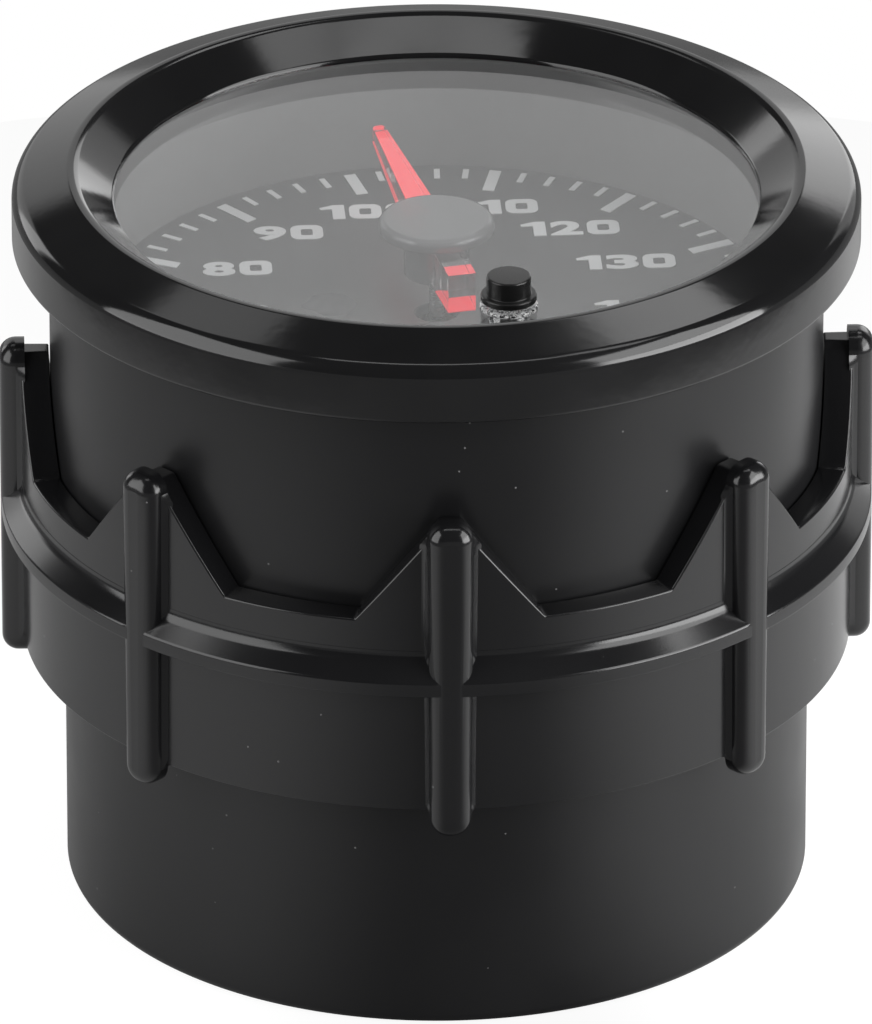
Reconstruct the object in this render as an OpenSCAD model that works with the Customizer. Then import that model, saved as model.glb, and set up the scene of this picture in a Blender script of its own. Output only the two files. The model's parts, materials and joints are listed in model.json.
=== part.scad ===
// Panel gauge for water temperature, standing on its back.
// The origin is the centre of the back face, +Z runs out of the dial,
// and -Y is the bottom of the dial (six o'clock). All sizes are in millimetres.

/* [Can] */
// Diameter of the can where it passes through the panel
can_d = 52; // [50:0.5:60]
// Depth by which the rear part of the can is relieved
rear_relief = 0.85; // [0.5:0.05:1]
// Wall of the can
can_wall = 1.6; // [1.2:0.1:1.8]
// Floor of the can
can_floor = 3; // [2.6:0.1:4]
// Rounding of the can's back edge
back_round = 0.8; // [0.3:0.1:1.5]
// Depth of one thread groove
thread_depth = 0.6; // [0.3:0.05:0.8]
// Pitch of the thread grooves
thread_pitch = 1.5; // [1:0.1:2.5]
// Height where the thread starts
thread_z = 19; // [17:0.5:21]
// Number of thread grooves
thread_turns = 8; // [4:1:8]

/* [Bezel] */
// Reach of the bezel beyond the can
bezel_over = 2.45; // [2:0.05:4]
// Height of the bezel from its underside to its crest
bezel_h = 5.25; // [4.3:0.05:5.5]
// Fall from the bezel's crest to the top of its upright side
bezel_fall = 2.2; // [1.9:0.05:2.5]
// Radius of the bezel's outer shoulder
bezel_round = 1.25; // [0.8:0.05:1.6]
// Distance of the crest inside the bezel's outer edge
crest_inset = 3.95; // [3.4:0.05:4.4]
// Radius of the crest
crest_round = 0.9; // [0.5:0.05:1.1]
// Radius of the edge beside the lens
lip_round = 0.15; // [0.1:0.01:0.3]
// Reach of the bezel's lip over the lens
lip_reach = 3.6; // [3:0.1:4.5]
// Rise of the bezel's crest above the lens
bezel_rise = 2.25; // [1.8:0.05:2.6]
// Gap between the bezel's sleeve and the can
bezel_fit = 0.02; // [0.01:0.01:0.05]

/* [Lens and dial] */
// Thickness of the lens
lens_t = 1.9; // [1.2:0.1:2.5]
// Width of the can's rim outside the lens
rim_w = 0.8; // [0.6:0.1:1]
// Gap round the lens
lens_gap = 0.1; // [0.05:0.05:0.2]
// Thickness of the lens gasket
gasket_t = 0.4; // [0.3:0.1:0.6]
// Depth of the shroud between dial and lens
shroud_h = 8; // [7.7:0.1:10]
// Wall of the shroud
shroud_wall = 1.4; // [1:0.1:1.6]
// Gap between the shroud and the can
shroud_gap = 0.2; // [0.1:0.05:0.4]
// Thickness of the dial plate
dial_t = 0.8; // [0.5:0.1:1.2]
// Height of the printed marks above the dial
print_t = 0.06; // [0.04:0.01:0.1]
// Gap between the marks and the shroud
mark_gap = 0.7; // [0.2:0.05:1]
// Length of a ten-degree mark
major_l = 3.1; // [2.6:0.1:3.8]
// Width of a ten-degree mark
major_w = 0.8; // [0.5:0.05:1]
// Length of a two-degree mark
minor_l = 1.4; // [1:0.1:2]
// Width of a two-degree mark
minor_w = 0.4; // [0.25:0.05:0.6]
// Angle between two ten-degree marks
mark_step = 25.8; // [24:0.1:27]

/* [Needle] */
// Gap between the needle's tip and the ten-degree marks, seen from above
needle_gap = 2.4; // [1.8:0.1:5]
// Length of the needle's tail
tail_l = 7.2; // [6:0.2:9]
// Width of the needle at the hub
needle_w = 1.9; // [1.4:0.1:2.4]
// Width of the needle's tip
tip_w = 0.7; // [0.5:0.05:0.9]
// Depth of the needle at the hub
needle_depth = 2.7; // [2:0.1:3]
// Depth of the needle at its tip
tip_depth = 1.1; // [0.8:0.1:1.6]
// Angle of the needle from twelve o'clock, clockwise
needle_angle = -10.2; // [-100:0.1:100]
// Diameter of the hub cap
hub_d = 7.8; // [6:0.1:9]
// Thickness of the hub cap
hub_t = 0.85; // [0.6:0.05:1]
// Gap between the hub cap and the lens
hub_gap = 0.95; // [0.5:0.05:1.2]
// Rounding of the hub cap's upper edge
hub_round = 0.25; // [0.1:0.05:0.4]
// Diameter of the needle's boss
boss_d = 4.4; // [3.6:0.1:5]
// Thickness of the coloured foil under the needle
foil_t = 0.12; // [0.08:0.01:0.2]
// Diameter of the spindle
spindle_d = 1; // [0.8:0.05:1.2]
// Radial clearance of the spindle in its bearings
spindle_fit = 0.05; // [0.02:0.01:0.08]

/* [Button] */
// Distance of the button's axis inside the window's edge
button_inset = 3.94; // [3.6:0.02:4.6]
// Angle of the button from six o'clock, anticlockwise
button_angle = 12.1; // [0:0.1:30]
// Diameter of the button cap
button_d = 2.96; // [2.6:0.02:3.4]
// Diameter of the button's flange
flange_d = 3.75; // [3.5:0.05:4.2]
// Thickness of the button's flange
flange_t = 0.45; // [0.3:0.05:0.6]
// Height of the button cap with its flange
button_h = 1.75; // [1.4:0.05:2.2]
// Travel of the button
button_travel = 0.3; // [0.2:0.05:0.35]
// Spare gap under the flange when the button is pressed
button_spare = 0.05; // [0.05:0.01:0.1]
// Diameter of the push rod
rod_d = 1.6; // [1.2:0.1:1.8]
// Radial clearance of the push rod in its collar
rod_fit = 0.06; // [0.03:0.01:0.09]
// Outer diameter of the clear collar
collar_d = 3.9; // [3.6:0.1:4.4]
// Height of the clear collar above the lens
collar_h = 0.25; // [0.2:0.05:0.7]
// Wall of the collar's sleeve through the lens
collar_wall = 0.5; // [0.3:0.05:0.6]

/* [Clamp ring] */
// Height of the skirt's lower edge
ring_z = 17.7; // [17:0.1:19]
// Height of the ring from the skirt's edge to the valleys
ring_h = 14; // [12:0.5:15]
// Wall of the ring
ring_wall = 1.92; // [1.5:0.02:2.4]
// Radial clearance between the ring and the can
ring_fit = 0.08; // [0.05:0.01:0.1]
// Height of the crown's points above the valleys
crown_h = 6.9; // [5:0.1:7.2]
// Half angle of a crown point at the valleys
crown_foot = 13; // [10:0.5:16]
// Half angle of a crown point at its top
crown_top = 1.5; // [1.3:0.1:4]
// Number of ribs
rib_count = 8; // [6:1:8]
// Angle of the front rib from six o'clock, clockwise seen from above
rib_offset = 1.7; // [0:0.1:22]
// Width of a rib
rib_w = 3; // [2.4:0.1:3.4]
// Width of the flat face on a rib
rib_flat = 1.45; // [1:0.05:2]
// Widening of each side of a rib at its root
rib_draft = 0.5; // [0.2:0.05:0.7]
// Distance of a rib's face outside the ring's wall
rib_out = 1.4; // [1:0.1:2]
// Height of the rib's top above the valleys
rib_rise = 7.5; // [7:0.1:8.5]
// Length of the rib below the skirt
rib_drop = 1.6; // [1:0.1:3]
// Height of the rail above the skirt's edge
rail_z = 9.1; // [7:0.1:10]
// Height of the rail's outer face
rail_face = 1; // [0.5:0.1:1.5]
// Height of the slope above the rail's outer face
rail_slope = 1.5; // [1:0.1:2.4]

/* [Boards and frame] */
// Thickness of the circuit boards
board_t = 1.6; // [1.2:0.1:2]
// Gap between the boards and the can
board_gap = 0.7; // [0.4:0.1:1]
// Length of the rear pillars
rear_pillar_l = 7; // [6.6:0.1:8]
// Length of the front pillars
front_pillar_l = 21.4; // [21:0.1:23]
// Diameter of the pillars
pillar_d = 5; // [4.4:0.1:5.6]
// Distance of the pillars' axes inside the boards' edge
pillar_inset = 4.85; // [4:0.05:6]
// Diameter of the screws and studs
screw_d = 2.5; // [2:0.1:3]
// Diameter of the screw heads
head_d = 4.5; // [4:0.1:5]
// Height of the screw heads
head_h = 1.2; // [0.9:0.1:1.4]
// Height of the reflector tray
reflector_h = 2.2; // [2.1:0.1:2.8]
// Thickness of the reflector's floor
reflector_t = 0.8; // [0.5:0.1:0.9]
// Gap between the light guide and the can
optics_gap = 2; // [0.5:0.1:2.6]
// Thickness of the light guide
guide_t = 2; // [1.5:0.1:2.4]
// Side of a light-emitting diode
led_side = 3; // [2.4:0.1:3.4]
// Height of a light-emitting diode
led_h = 1.1; // [0.8:0.1:1.2]
// Number of light-emitting diodes
led_count = 6; // [3:1:6]
// Distance of the diodes inside the button's axis
led_inset = 4.66; // [3:0.02:7]
// Length of the board screws in the pillars
screw_l = 5; // [3:0.5:8]
// Length of the rear screws in the pillars
rear_screw_l = 4.2; // [3:0.1:5]

/* [Parts on the power board] */
// Length of the driver chip
chip_l = 7; // [4:0.5:10]
// Width of the driver chip
chip_w = 5; // [3:0.5:6]
// Height of the driver chip
chip_h = 1.4; // [1:0.1:2]
// Distance of the driver chip above the dial's centre line
chip_y = 6; // [4:0.5:9]
// Length of the voltage regulator
regulator_l = 9; // [7:0.5:10]
// Width of the voltage regulator
regulator_w = 4.5; // [3:0.5:5]
// Height of the voltage regulator
regulator_h = 8; // [5:0.5:12]
// Distance of the voltage regulator inside the board's edge
regulator_inset = 5.85; // [4:0.05:7]
// Diameter of the smoothing capacitor
capacitor_d = 6.2; // [4:0.1:7]
// Height of the smoothing capacitor
capacitor_h = 8; // [5:0.5:12]
// Distance of the capacitor inside the board's edge
capacitor_inset = 4.35; // [4:0.05:7]
// Distance of the link pins inside the board's edge
link_inset = 4.35; // [2:0.05:6]

/* [Movement] */
// Gap between the windings' corners and the shield
shield_gap = 0.5; // [0.2:0.1:1]
// Wall of the magnetic shield
shield_wall = 0.6; // [0.4:0.1:0.7]
// Free height above and below the windings
winding_gap = 0.45; // [0.2:0.05:0.7]
// Thickness of the bridge that closes the shield
bridge_t = 1.5; // [1.2:0.1:2]
// Wall of the coil former round the magnet
former_wall = 1.8; // [1.2:0.1:2.2]
// Thickness of one winding
coil_t = 0.8; // [0.5:0.1:0.9]
// Width of one half winding
coil_w = 2.3; // [1.6:0.1:2.5]
// Diameter of the rotor magnet
magnet_d = 7.2; // [6:0.1:7.6]
// Thickness of the rotor magnet
magnet_t = 5; // [3:0.1:5.2]
// Gap round the rotor magnet
magnet_gap = 0.6; // [0.4:0.05:0.7]
// Wall of the former's central stems
former_stem_wall = 0.5; // [0.4:0.05:0.7]

/* [Socket] */
// Length of the socket's cavity
socket_l = 12; // [10:0.5:14]
// Width of the socket's cavity
socket_w = 7; // [6:0.5:8]
// Wall of the socket
socket_wall = 1; // [0.8:0.1:1.4]
// Free depth of the socket in front of its pins
socket_free = 4.5; // [4.3:0.1:5]
// Length of the pins inside the socket
pin_reach = 2.4; // [1.5:0.1:2.4]
// Distance of the socket's mouth above the back face
socket_inset = 0.6; // [0.3:0.1:1]
// Number of pins
pin_count = 4; // [2:1:4]
// Side of a square pin
pin_side = 0.64; // [0.5:0.02:0.8]
// Distance between two pins
pin_pitch = 2.54; // [2:0.02:2.8]

/* [Hidden] */
$fn = 96;
EPS = 0.01;
// How far a cut runs past what it cuts
OVER = 1;

// Heights of the stack, from the back face up
z_power = can_floor + rear_pillar_l;
z_power_top = z_power + board_t;
z_main = z_power_top + front_pillar_l;
z_main_top = z_main + board_t;
z_guide = z_main_top + reflector_h;
z_plate = z_guide + guide_t;
z_dial = z_plate + dial_t;
z_lens = z_dial + shroud_h;
z_lens_top = z_lens + lens_t;
z_top = z_lens_top + bezel_rise;
z_flange = z_top - bezel_h;
rim_drop = 0.2;
z_rim = z_lens_top - rim_drop;
z_ledge = z_lens - gasket_t;

// Radii that several pieces share
can_r = can_d / 2;
rear_r = can_r - rear_relief;
bezel_r = can_r + bezel_over;
bore_r = can_r - can_wall;
rear_bore_r = rear_r - can_wall;
groove_mouth = thread_pitch * 0.42;
groove_floor = thread_pitch * 0.12;
seat_r = can_r - rim_w;
window_r = seat_r - lip_reach;
board_r = min(bore_r, rear_bore_r) - board_gap;
pillar_r = board_r - pillar_inset;
optics_r = bore_r - optics_gap;
shroud_r = bore_r - shroud_gap;
dial_r = shroud_r - shroud_wall / 2;
mark_r = shroud_r - shroud_wall - mark_gap;
spindle_r = spindle_d / 2;
spindle_hole_r = spindle_r + 1;
centre_hole_r = spindle_hole_r + 1.5;

// Needle heights: the hub cap lies on the needle, under the lens
z_hub_top = z_lens - hub_gap;
z_needle_top = z_hub_top - hub_t;
z_needle = z_needle_top - needle_depth;
boss_drop = 0.5;
spindle_cover = 0.4;
z_boss = z_needle - boss_drop;
z_spindle_top = z_needle_top - spindle_cover;
foil_sink = 0.02;
foil_gap = 1.6;
needle_l = mark_r - major_l - needle_gap;

// Movement radii: each piece goes round the one before it
former_r = magnet_d / 2 + magnet_gap + former_wall;
former_h = magnet_t + 2 * (magnet_gap + former_wall);
stem_bore = spindle_r + 0.25;
former_stem_r = stem_bore + former_stem_wall;
coil_gap = 0.05;
coil_start = former_stem_r + coil_gap;
inner_reach = former_r + coil_gap;
outer_reach = inner_reach + coil_t + coil_gap;
shield_bore_r = norm([outer_reach + coil_t, coil_start + coil_w]) + shield_gap;
shield_r = shield_bore_r + shield_wall;
bearing_wall = 1.1;
bearing_r = spindle_r + bearing_wall;
bearing_drop = 0.6;
spindle_end_gap = 0.1;
small_screw_r = 0.8;
small_head_r = 1.5;
small_head_h = 0.9;
movement_screw_r = shield_r - 2 * small_head_r;

// Movement heights: the bridge hangs under the main board
shield_h = former_h + 4 * coil_t + 2 * winding_gap + shield_wall;
z_bridge = z_main - bridge_t;
z_shield = z_bridge - shield_h;
z_shield_floor = z_shield + shield_wall;
z_former_mid = (z_shield_floor + z_bridge) / 2;
z_former = z_former_mid - former_h / 2;
z_former_top = z_former_mid + former_h / 2;

// Button places: the flange floats above the collar by its travel
button_r = window_r - button_inset;
led_r = button_r - led_inset;
z_collar_top = z_lens_top + collar_h;
z_button = z_collar_top + button_travel + button_spare;
z_button_top = z_button + button_h;
rod_sink = 1.05;
z_rod_top = z_button + rod_sink;
switch_side = 6;
switch_h = 2;
stem_r = 1.6;
stem_h = 1;
stem_sink = 0.6;
stem_spare = 0.1;
stem_fit = 0.06;
hole_gap = 0.4;
led_gap = 0.3;
tray_wall = 1;
z_switch_top = z_main_top + switch_h;
z_stem_top = z_switch_top + stem_h;
sleeve_r = rod_d / 2 + rod_fit + collar_wall;
sleeve_drop = 0.3;

// Clamp ring heights and radii
ring_bore = can_r + ring_fit;
ring_r = ring_bore + ring_wall;
rib_r = ring_r + rib_out;
z_valley = ring_z + ring_h;
z_crown = z_valley + crown_h;
z_rib_top = z_valley + rib_rise;
z_rib_bottom = ring_z - rib_drop;
rib_round = 1.3;
rib_end_round = 1.35;
z_rail = ring_z + rail_z;
rail_out = rib_out - 0.05;
rib_root = 0.3;
rib_in = ring_bore + rib_root;

// Fastening
pillar_angles = [90, 210, 330];
bore_fit = 0.02;
head_fit = 0.15;
counterbore = head_h + 0.2;
z_screw_tip = can_floor + rear_screw_l;
stud_gap = 0.6;
z_stud_tip = z_screw_tip + stud_gap;

// Socket
z_mouth = socket_inset;
z_pin_end = z_mouth + socket_free;
z_roof = z_pin_end + pin_reach;
pin_tail = 0.8;
pin_gap = 0.05;
link_count = 5;
socket_y = -6;
opening_gap = 0.3;

module tube(r_out, r_in, z0, z1) {
    difference() {
        translate([0, 0, z0]) cylinder(r = r_out, h = z1 - z0);
        translate([0, 0, z0 - EPS]) cylinder(r = r_in, h = z1 - z0 + 2 * EPS);
    }
}

module disc(r, z0, z1) {
    translate([0, 0, z0]) cylinder(r = r, h = z1 - z0);
}

module at_pillars() {
    for (a = pillar_angles) rotate([0, 0, a]) translate([pillar_r, 0, 0]) children();
}

module at_button() {
    rotate([0, 0, button_angle]) translate([0, -button_r, 0]) children();
}

module at_movement_screws() {
    for (side = [-1, 1]) translate([side * movement_screw_r, 0, 0]) children();
}

module at_socket() {
    translate([0, socket_y, 0]) children();
}

module block(x, y, z0, z1) {
    translate([-x / 2, -y / 2, z0]) cube([x, y, z1 - z0]);
}

module square_hole(side, z0, z1) {
    block(side, side, z0 - OVER, z1 + OVER);
}

// Half section of the can's outside, with the grooves of the thread
module can_outline() {
    translate([0, back_round]) square([rear_r, thread_z - back_round]);
    square([rear_r - back_round, back_round]);
    translate([rear_r - back_round, back_round]) intersection() {
        circle(r = back_round);
        translate([0, -back_round]) square(back_round);
    }
    difference() {
        translate([0, thread_z]) square([can_r, z_rim - thread_z]);
        for (i = [0 : thread_turns - 1])
            translate([can_r, thread_z + thread_pitch * (i + 0.5)])
                polygon([
                    [EPS, -groove_mouth],
                    [-thread_depth, -groove_floor],
                    [-thread_depth, groove_floor],
                    [EPS, groove_mouth],
                ]);
    }
}

module can_hollow() {
    disc(rear_bore_r, can_floor, thread_z);
    disc(bore_r, thread_z - EPS, z_rim + OVER);
    disc(seat_r, z_ledge, z_rim + OVER);
}

module can() {
    color("#1b1b1c") difference() {
        rotate_extrude() can_outline();
        can_hollow();
        at_pillars() {
            disc(head_d / 2 + head_fit, -EPS, counterbore);
            disc(screw_d / 2 + head_fit, -EPS, can_floor + OVER);
        }
        at_socket() block(
            socket_l + 2 * (socket_wall + opening_gap),
            socket_w + 2 * (socket_wall + opening_gap),
            -OVER, can_floor + OVER);
    }
}

function polar(c, r, a) = [c.x + r * cos(a), c.y + r * sin(a)];

function arc(c, r, a0, a1, n) = [for (i = [0 : n]) polar(c, r, a0 + (a1 - a0) * i / n)];

// Angle at which a line above two circles touches both of them
function touch(c0, r0, c1, r1) =
    let (d = c1 - c0) atan2(d.y, d.x) + acos((r0 - r1) / norm(d));

// Half section of the bezel: side, shoulder, sloping face, crest and the funnel down to the lens
module bezel_outline() {
    inner = can_r + bezel_fit;
    foot = 0.3;
    foot_c = [bezel_r - foot, z_flange + foot];
    edge_c = [bezel_r - bezel_round, z_top - bezel_fall];
    crest_c = [bezel_r - crest_inset, z_top - crest_round];
    lip_c = [window_r + lip_round, z_lens_top + lip_round];
    face_a = touch(crest_c, crest_round, edge_c, bezel_round);
    funnel_a = touch(lip_c, lip_round, crest_c, crest_round);
    polygon(concat(
        [[inner, z_flange]],
        arc(foot_c, foot, -90, 0, 8),
        arc(edge_c, bezel_round, 0, face_a, 10),
        arc(crest_c, crest_round, face_a, funnel_a, 16),
        arc(lip_c, lip_round, funnel_a, 180, 6),
        [[window_r, z_lens_top], [inner, z_lens_top]]
    ));
}

module bezel() {
    color("#151515") rotate_extrude($fn = 128) bezel_outline();
}

module lens() {
    color("#c9d2d6", 0.35) difference() {
        disc(seat_r - lens_gap, z_lens, z_lens_top);
        at_button() disc(sleeve_r + bore_fit, z_lens - OVER, z_lens_top + OVER);
    }
}

module lens_gasket() {
    color("#101010") tube(seat_r - lens_gap, bore_r, z_ledge, z_lens);
}

module ring_body() {
    rotate_extrude($fn = 128) {
        translate([ring_bore, ring_z]) square([ring_wall, ring_h]);
        translate([ring_r, z_rail]) polygon([
            [-EPS, 0],
            [rail_out, 0],
            [rail_out, rail_face],
            [-EPS, rail_face + rail_slope],
        ]);
    }
}

// Crown: a short tube with a trapezoid cut out between each pair of points
module ring_crown() {
    half_gap = 180 / rib_count;
    foot_w = ring_r * sin(half_gap - crown_foot);
    top_w = ring_r * sin(half_gap - crown_top);
    difference() {
        tube(ring_r, ring_bore, z_valley - EPS, z_crown);
        for (i = [0 : rib_count - 1])
            rotate([0, 0, 360 / rib_count * (i + 0.5)])
                rotate([90, 0, 90])
                    linear_extrude(height = ring_r + OVER)
                        polygon([
                            [-foot_w, z_valley],
                            [foot_w, z_valley],
                            [top_w, z_crown + EPS],
                            [-top_w, z_crown + EPS],
                        ]);
    }
}

// Plan of a rib, with rounded shoulders beside its flat face
module rib_plan() {
    shoulder = (rib_w - rib_flat) / 2;
    translate([rib_in, -rib_w / 2]) square([rib_r - shoulder - rib_in, rib_w]);
    translate([rib_in, -rib_flat / 2]) square([rib_r - rib_in, rib_flat]);
    for (side = [-1, 1])
        translate([rib_r - shoulder, side * rib_flat / 2]) circle(r = shoulder, $fn = 48);
}

// Plan of the rib's root, whose sides lean out to the ring's wall
module root_plan() {
    half = rib_w / 2;
    face = rib_r - (rib_w - rib_flat) / 2;
    polygon([[rib_in, -half - rib_draft], [ring_r, -half - rib_draft], [face, -half],
             [face, half], [ring_r, half + rib_draft], [rib_in, half + rib_draft]]);
}

// Upright outline with both ends rounded
module rib_upright(x0, x1, r, inset) {
    low = z_rib_bottom + inset;
    high = z_rib_top - inset;
    translate([x0, low + r]) square([x1 - x0, high - low - 2 * r]);
    translate([x0 + r, low]) square([x1 - x0 - 2 * r, high - low]);
    for (x = [x0 + r, x1 - r], z = [low + r, high - r])
        translate([x, z]) circle(r = r, $fn = 48);
}

// A plan raised between the rib's side view and its front view
module rib_solid(half, r, inset) {
    intersection() {
        translate([0, 0, z_rib_bottom - OVER])
            linear_extrude(height = z_rib_top - z_rib_bottom + 2 * OVER) children();
        translate([0, rib_w, 0]) rotate([90, 0, 0])
            linear_extrude(height = 2 * rib_w) rib_upright(rib_in, rib_r, rib_round, 0);
        translate([rib_in - OVER, 0, 0]) rotate([90, 0, 90])
            linear_extrude(height = rib_r - rib_in + 2 * OVER)
                rib_upright(-half, half, r, inset);
    }
}

module rib() {
    rib_solid(rib_w / 2, rib_end_round, 0) rib_plan();
    rib_solid(rib_w / 2 + rib_draft, rib_end_round + rib_draft, rib_draft) root_plan();
}

module clamp_ring() {
    color("#1f1f20") rotate([0, 0, -90 - rib_offset]) {
        ring_body();
        ring_crown();
        for (i = [0 : rib_count - 1]) rotate([0, 0, 360 / rib_count * i]) rib();
    }
}

module dial_shroud() {
    color("#0e0e0e") tube(shroud_r, shroud_r - shroud_wall, z_dial, z_lens);
}

module dial_plate() {
    color("#121212") difference() {
        disc(dial_r, z_plate, z_dial);
        disc(spindle_hole_r, z_plate - OVER, z_dial + OVER);
        at_button() disc(rod_d / 2 + hole_gap, z_plate - OVER, z_dial + OVER);
    }
}

module mark(length, width) {
    translate([-width / 2, mark_r - length, z_dial]) cube([width, length, print_t]);
}

// Ten-degree marks from 60 to 150, with four short marks in each step
module dial_marks() {
    steps = 9;
    first = -steps / 2 * mark_step;
    color("white") {
        for (i = [0 : steps]) rotate([0, 0, -first - i * mark_step]) mark(major_l, major_w);
        for (i = [0 : steps - 1], k = [1 : 4])
            rotate([0, 0, -first - (i + k / 5) * mark_step]) mark(minor_l, minor_w);
    }
}

module needle_plan() {
    w = needle_w / 2;
    t = tip_w / 2;
    polygon([[-w, -tail_l], [w, -tail_l], [w, 0], [t, needle_l - t], [-t, needle_l - t], [-w, 0]]);
    translate([0, needle_l - t]) circle(r = t, $fn = 32);
}

// Plan of the needle raised between two sloping outlines of the same side view
module needle_slab(low, high) {
    rise = needle_depth - tip_depth;
    intersection() {
        translate([0, 0, z_boss - OVER]) linear_extrude(height = needle_depth + 3 * OVER) needle_plan();
        translate([-needle_w, 0, 0]) rotate([90, 0, 90]) linear_extrude(height = 2 * needle_w)
            polygon([
                [-tail_l - OVER, z_needle + low],
                [0, z_needle + low],
                [needle_l, z_needle + rise + low],
                [needle_l, high > 0 ? z_needle_top : z_needle + rise + low + foil_t],
                [0, high > 0 ? z_needle_top : z_needle + low + foil_t],
                [-tail_l - OVER, high > 0 ? z_needle_top : z_needle + low + foil_t],
            ]);
    }
}

module needle() {
    color("#e8b0b0", 0.5) rotate([0, 0, -needle_angle]) difference() {
        union() {
            needle_slab(0, 1);
            disc(boss_d / 2, z_boss, z_needle_top);
        }
        disc(spindle_r, z_boss - OVER, z_spindle_top);
    }
}

module needle_foil() {
    color("#d8202a") rotate([0, 0, -needle_angle]) difference() {
        needle_slab(foil_sink - foil_t, 0);
        disc(boss_d / 2 + foil_gap, z_boss - OVER, z_needle_top);
    }
}

module hub_cap() {
    r = hub_d / 2;
    color("#1a1a1a") rotate_extrude() {
        translate([0, z_needle_top]) square([r, hub_t - hub_round]);
        translate([0, z_needle_top]) square([r - hub_round, hub_t]);
        translate([r - hub_round, z_hub_top - hub_round]) intersection() {
            circle(r = hub_round, $fn = 48);
            square(hub_round);
        }
    }
}

module spindle() {
    color("silver") disc(spindle_r, z_shield + spindle_end_gap, z_spindle_top);
}

module rotor_magnet() {
    color("#55565a")
        tube(magnet_d / 2, spindle_r, z_former_mid - magnet_t / 2, z_former_mid + magnet_t / 2);
}

// Half of the coil former, split at the magnet's middle, with its central stem
module former_half(z0, z1, stem0, stem1) {
    difference() {
        union() {
            disc(former_r, z0, z1);
            disc(former_stem_r, stem0, stem1);
        }
        disc(magnet_d / 2 + magnet_gap,
            z_former_mid - magnet_t / 2 - magnet_gap, z_former_mid + magnet_t / 2 + magnet_gap);
        disc(stem_bore, z_shield - OVER, z_bridge + OVER);
    }
}

module front_former() {
    color("#d9d2bd") former_half(z_former_mid, z_former_top, z_former_top - EPS, z_bridge);
}

module rear_former() {
    color("#d9d2bd") former_half(z_former, z_former_mid, z_shield_floor, z_former + EPS);
}

// A winding is two flat rectangular loops, one each side of the spindle
module winding(reach, z0, z1) {
    for (side = [-1, 1])
        translate([0, side * (coil_start + coil_w / 2), 0]) difference() {
            block(2 * (reach + coil_t), coil_w, z0 - coil_t, z1 + coil_t);
            block(2 * reach, coil_w + OVER, z0, z1);
        }
}

module inner_coil() {
    color("#a85a32") winding(inner_reach, z_former, z_former_top);
}

module outer_coil() {
    color("#a85a32") rotate([0, 0, 90])
        winding(outer_reach, z_former - coil_t, z_former_top + coil_t);
}

module magnetic_shield() {
    color("#8d9094") difference() {
        disc(shield_r, z_shield, z_bridge);
        disc(shield_bore_r, z_shield_floor, z_bridge + OVER);
        disc(bearing_r, z_shield - OVER, z_shield_floor + OVER);
    }
}

module movement_bridge() {
    color("#c9c3ae") difference() {
        disc(shield_r, z_bridge, z_main);
        disc(bearing_r, z_bridge - OVER, z_main + OVER);
        at_movement_screws() disc(small_screw_r, z_bridge - OVER, z_main + OVER);
    }
}

module spindle_bearings() {
    color("#b08d4a") {
        tube(bearing_r, spindle_r + spindle_fit, z_bridge, z_main);
        difference() {
            disc(bearing_r, z_shield - bearing_drop, z_shield_floor);
            disc(spindle_r + spindle_fit, z_shield, z_shield_floor + OVER);
        }
    }
}

module movement_screws() {
    color("#9a9c9e") at_movement_screws() {
        disc(small_screw_r, z_bridge, z_main_top + EPS);
        disc(small_head_r, z_main_top, z_main_top + small_head_h);
    }
}

module light_guide() {
    color("#dfe9ec", 0.4) difference() {
        disc(optics_r, z_guide, z_plate);
        disc(centre_hole_r, z_guide - OVER, z_plate + OVER);
        at_button() disc(stem_r + hole_gap, z_guide - OVER, z_plate + OVER);
    }
}

module reflector_tray() {
    color("#f1f1ee") difference() {
        disc(optics_r, z_main_top, z_guide);
        disc(optics_r - tray_wall, z_main_top - OVER, z_guide - reflector_t);
        disc(centre_hole_r, z_main_top - OVER, z_guide + OVER);
        at_button() square_hole(switch_side + 2 * hole_gap, z_main_top, z_guide);
        at_diodes() square_hole(led_side + 2 * led_gap, z_main_top, z_guide);
    }
}

// Diodes in a ring, two of them as far to each side of the button as they go
module at_diodes() {
    for (i = [0 : led_count - 1])
        rotate([0, 0, button_angle + 360 / led_count * (i + 0.5)])
            translate([0, -led_r, 0]) children();
}

module diodes() {
    color("#f4efc8") at_diodes() block(led_side, led_side, z_main_top, z_main_top + led_h);
}

module board(z0) {
    difference() {
        disc(board_r, z0, z0 + board_t);
        at_pillars() disc(screw_d / 2 + bore_fit, z0 - OVER, z0 + board_t + OVER);
    }
}

module main_board() {
    color("#1f6b3a") difference() {
        board(z_main);
        disc(spindle_hole_r, z_main - OVER, z_main_top + OVER);
        at_movement_screws() disc(small_screw_r + bore_fit, z_main - OVER, z_main_top + OVER);
    }
}

module power_board() {
    color("#1f6b3a") difference() {
        board(z_power);
        at_socket() at_pins() square_hole(pin_side + 2 * pin_gap, z_power, z_power_top);
    }
}

module front_pillars() {
    color("#b9a26a") at_pillars() difference() {
        union() {
            disc(pillar_d / 2, z_power_top, z_main);
            disc(screw_d / 2, z_stud_tip, z_power_top + EPS);
        }
        disc(screw_d / 2 + bore_fit, z_main - screw_l - OVER, z_main + OVER);
    }
}

module rear_pillars() {
    color("#b9a26a") at_pillars()
        tube(pillar_d / 2, screw_d / 2 + bore_fit, can_floor, z_power);
}

module board_screws() {
    color("#9a9c9e") at_pillars() {
        disc(screw_d / 2, z_main - screw_l, z_main_top + EPS);
        disc(head_d / 2, z_main_top, z_main_top + head_h);
    }
}

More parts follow.
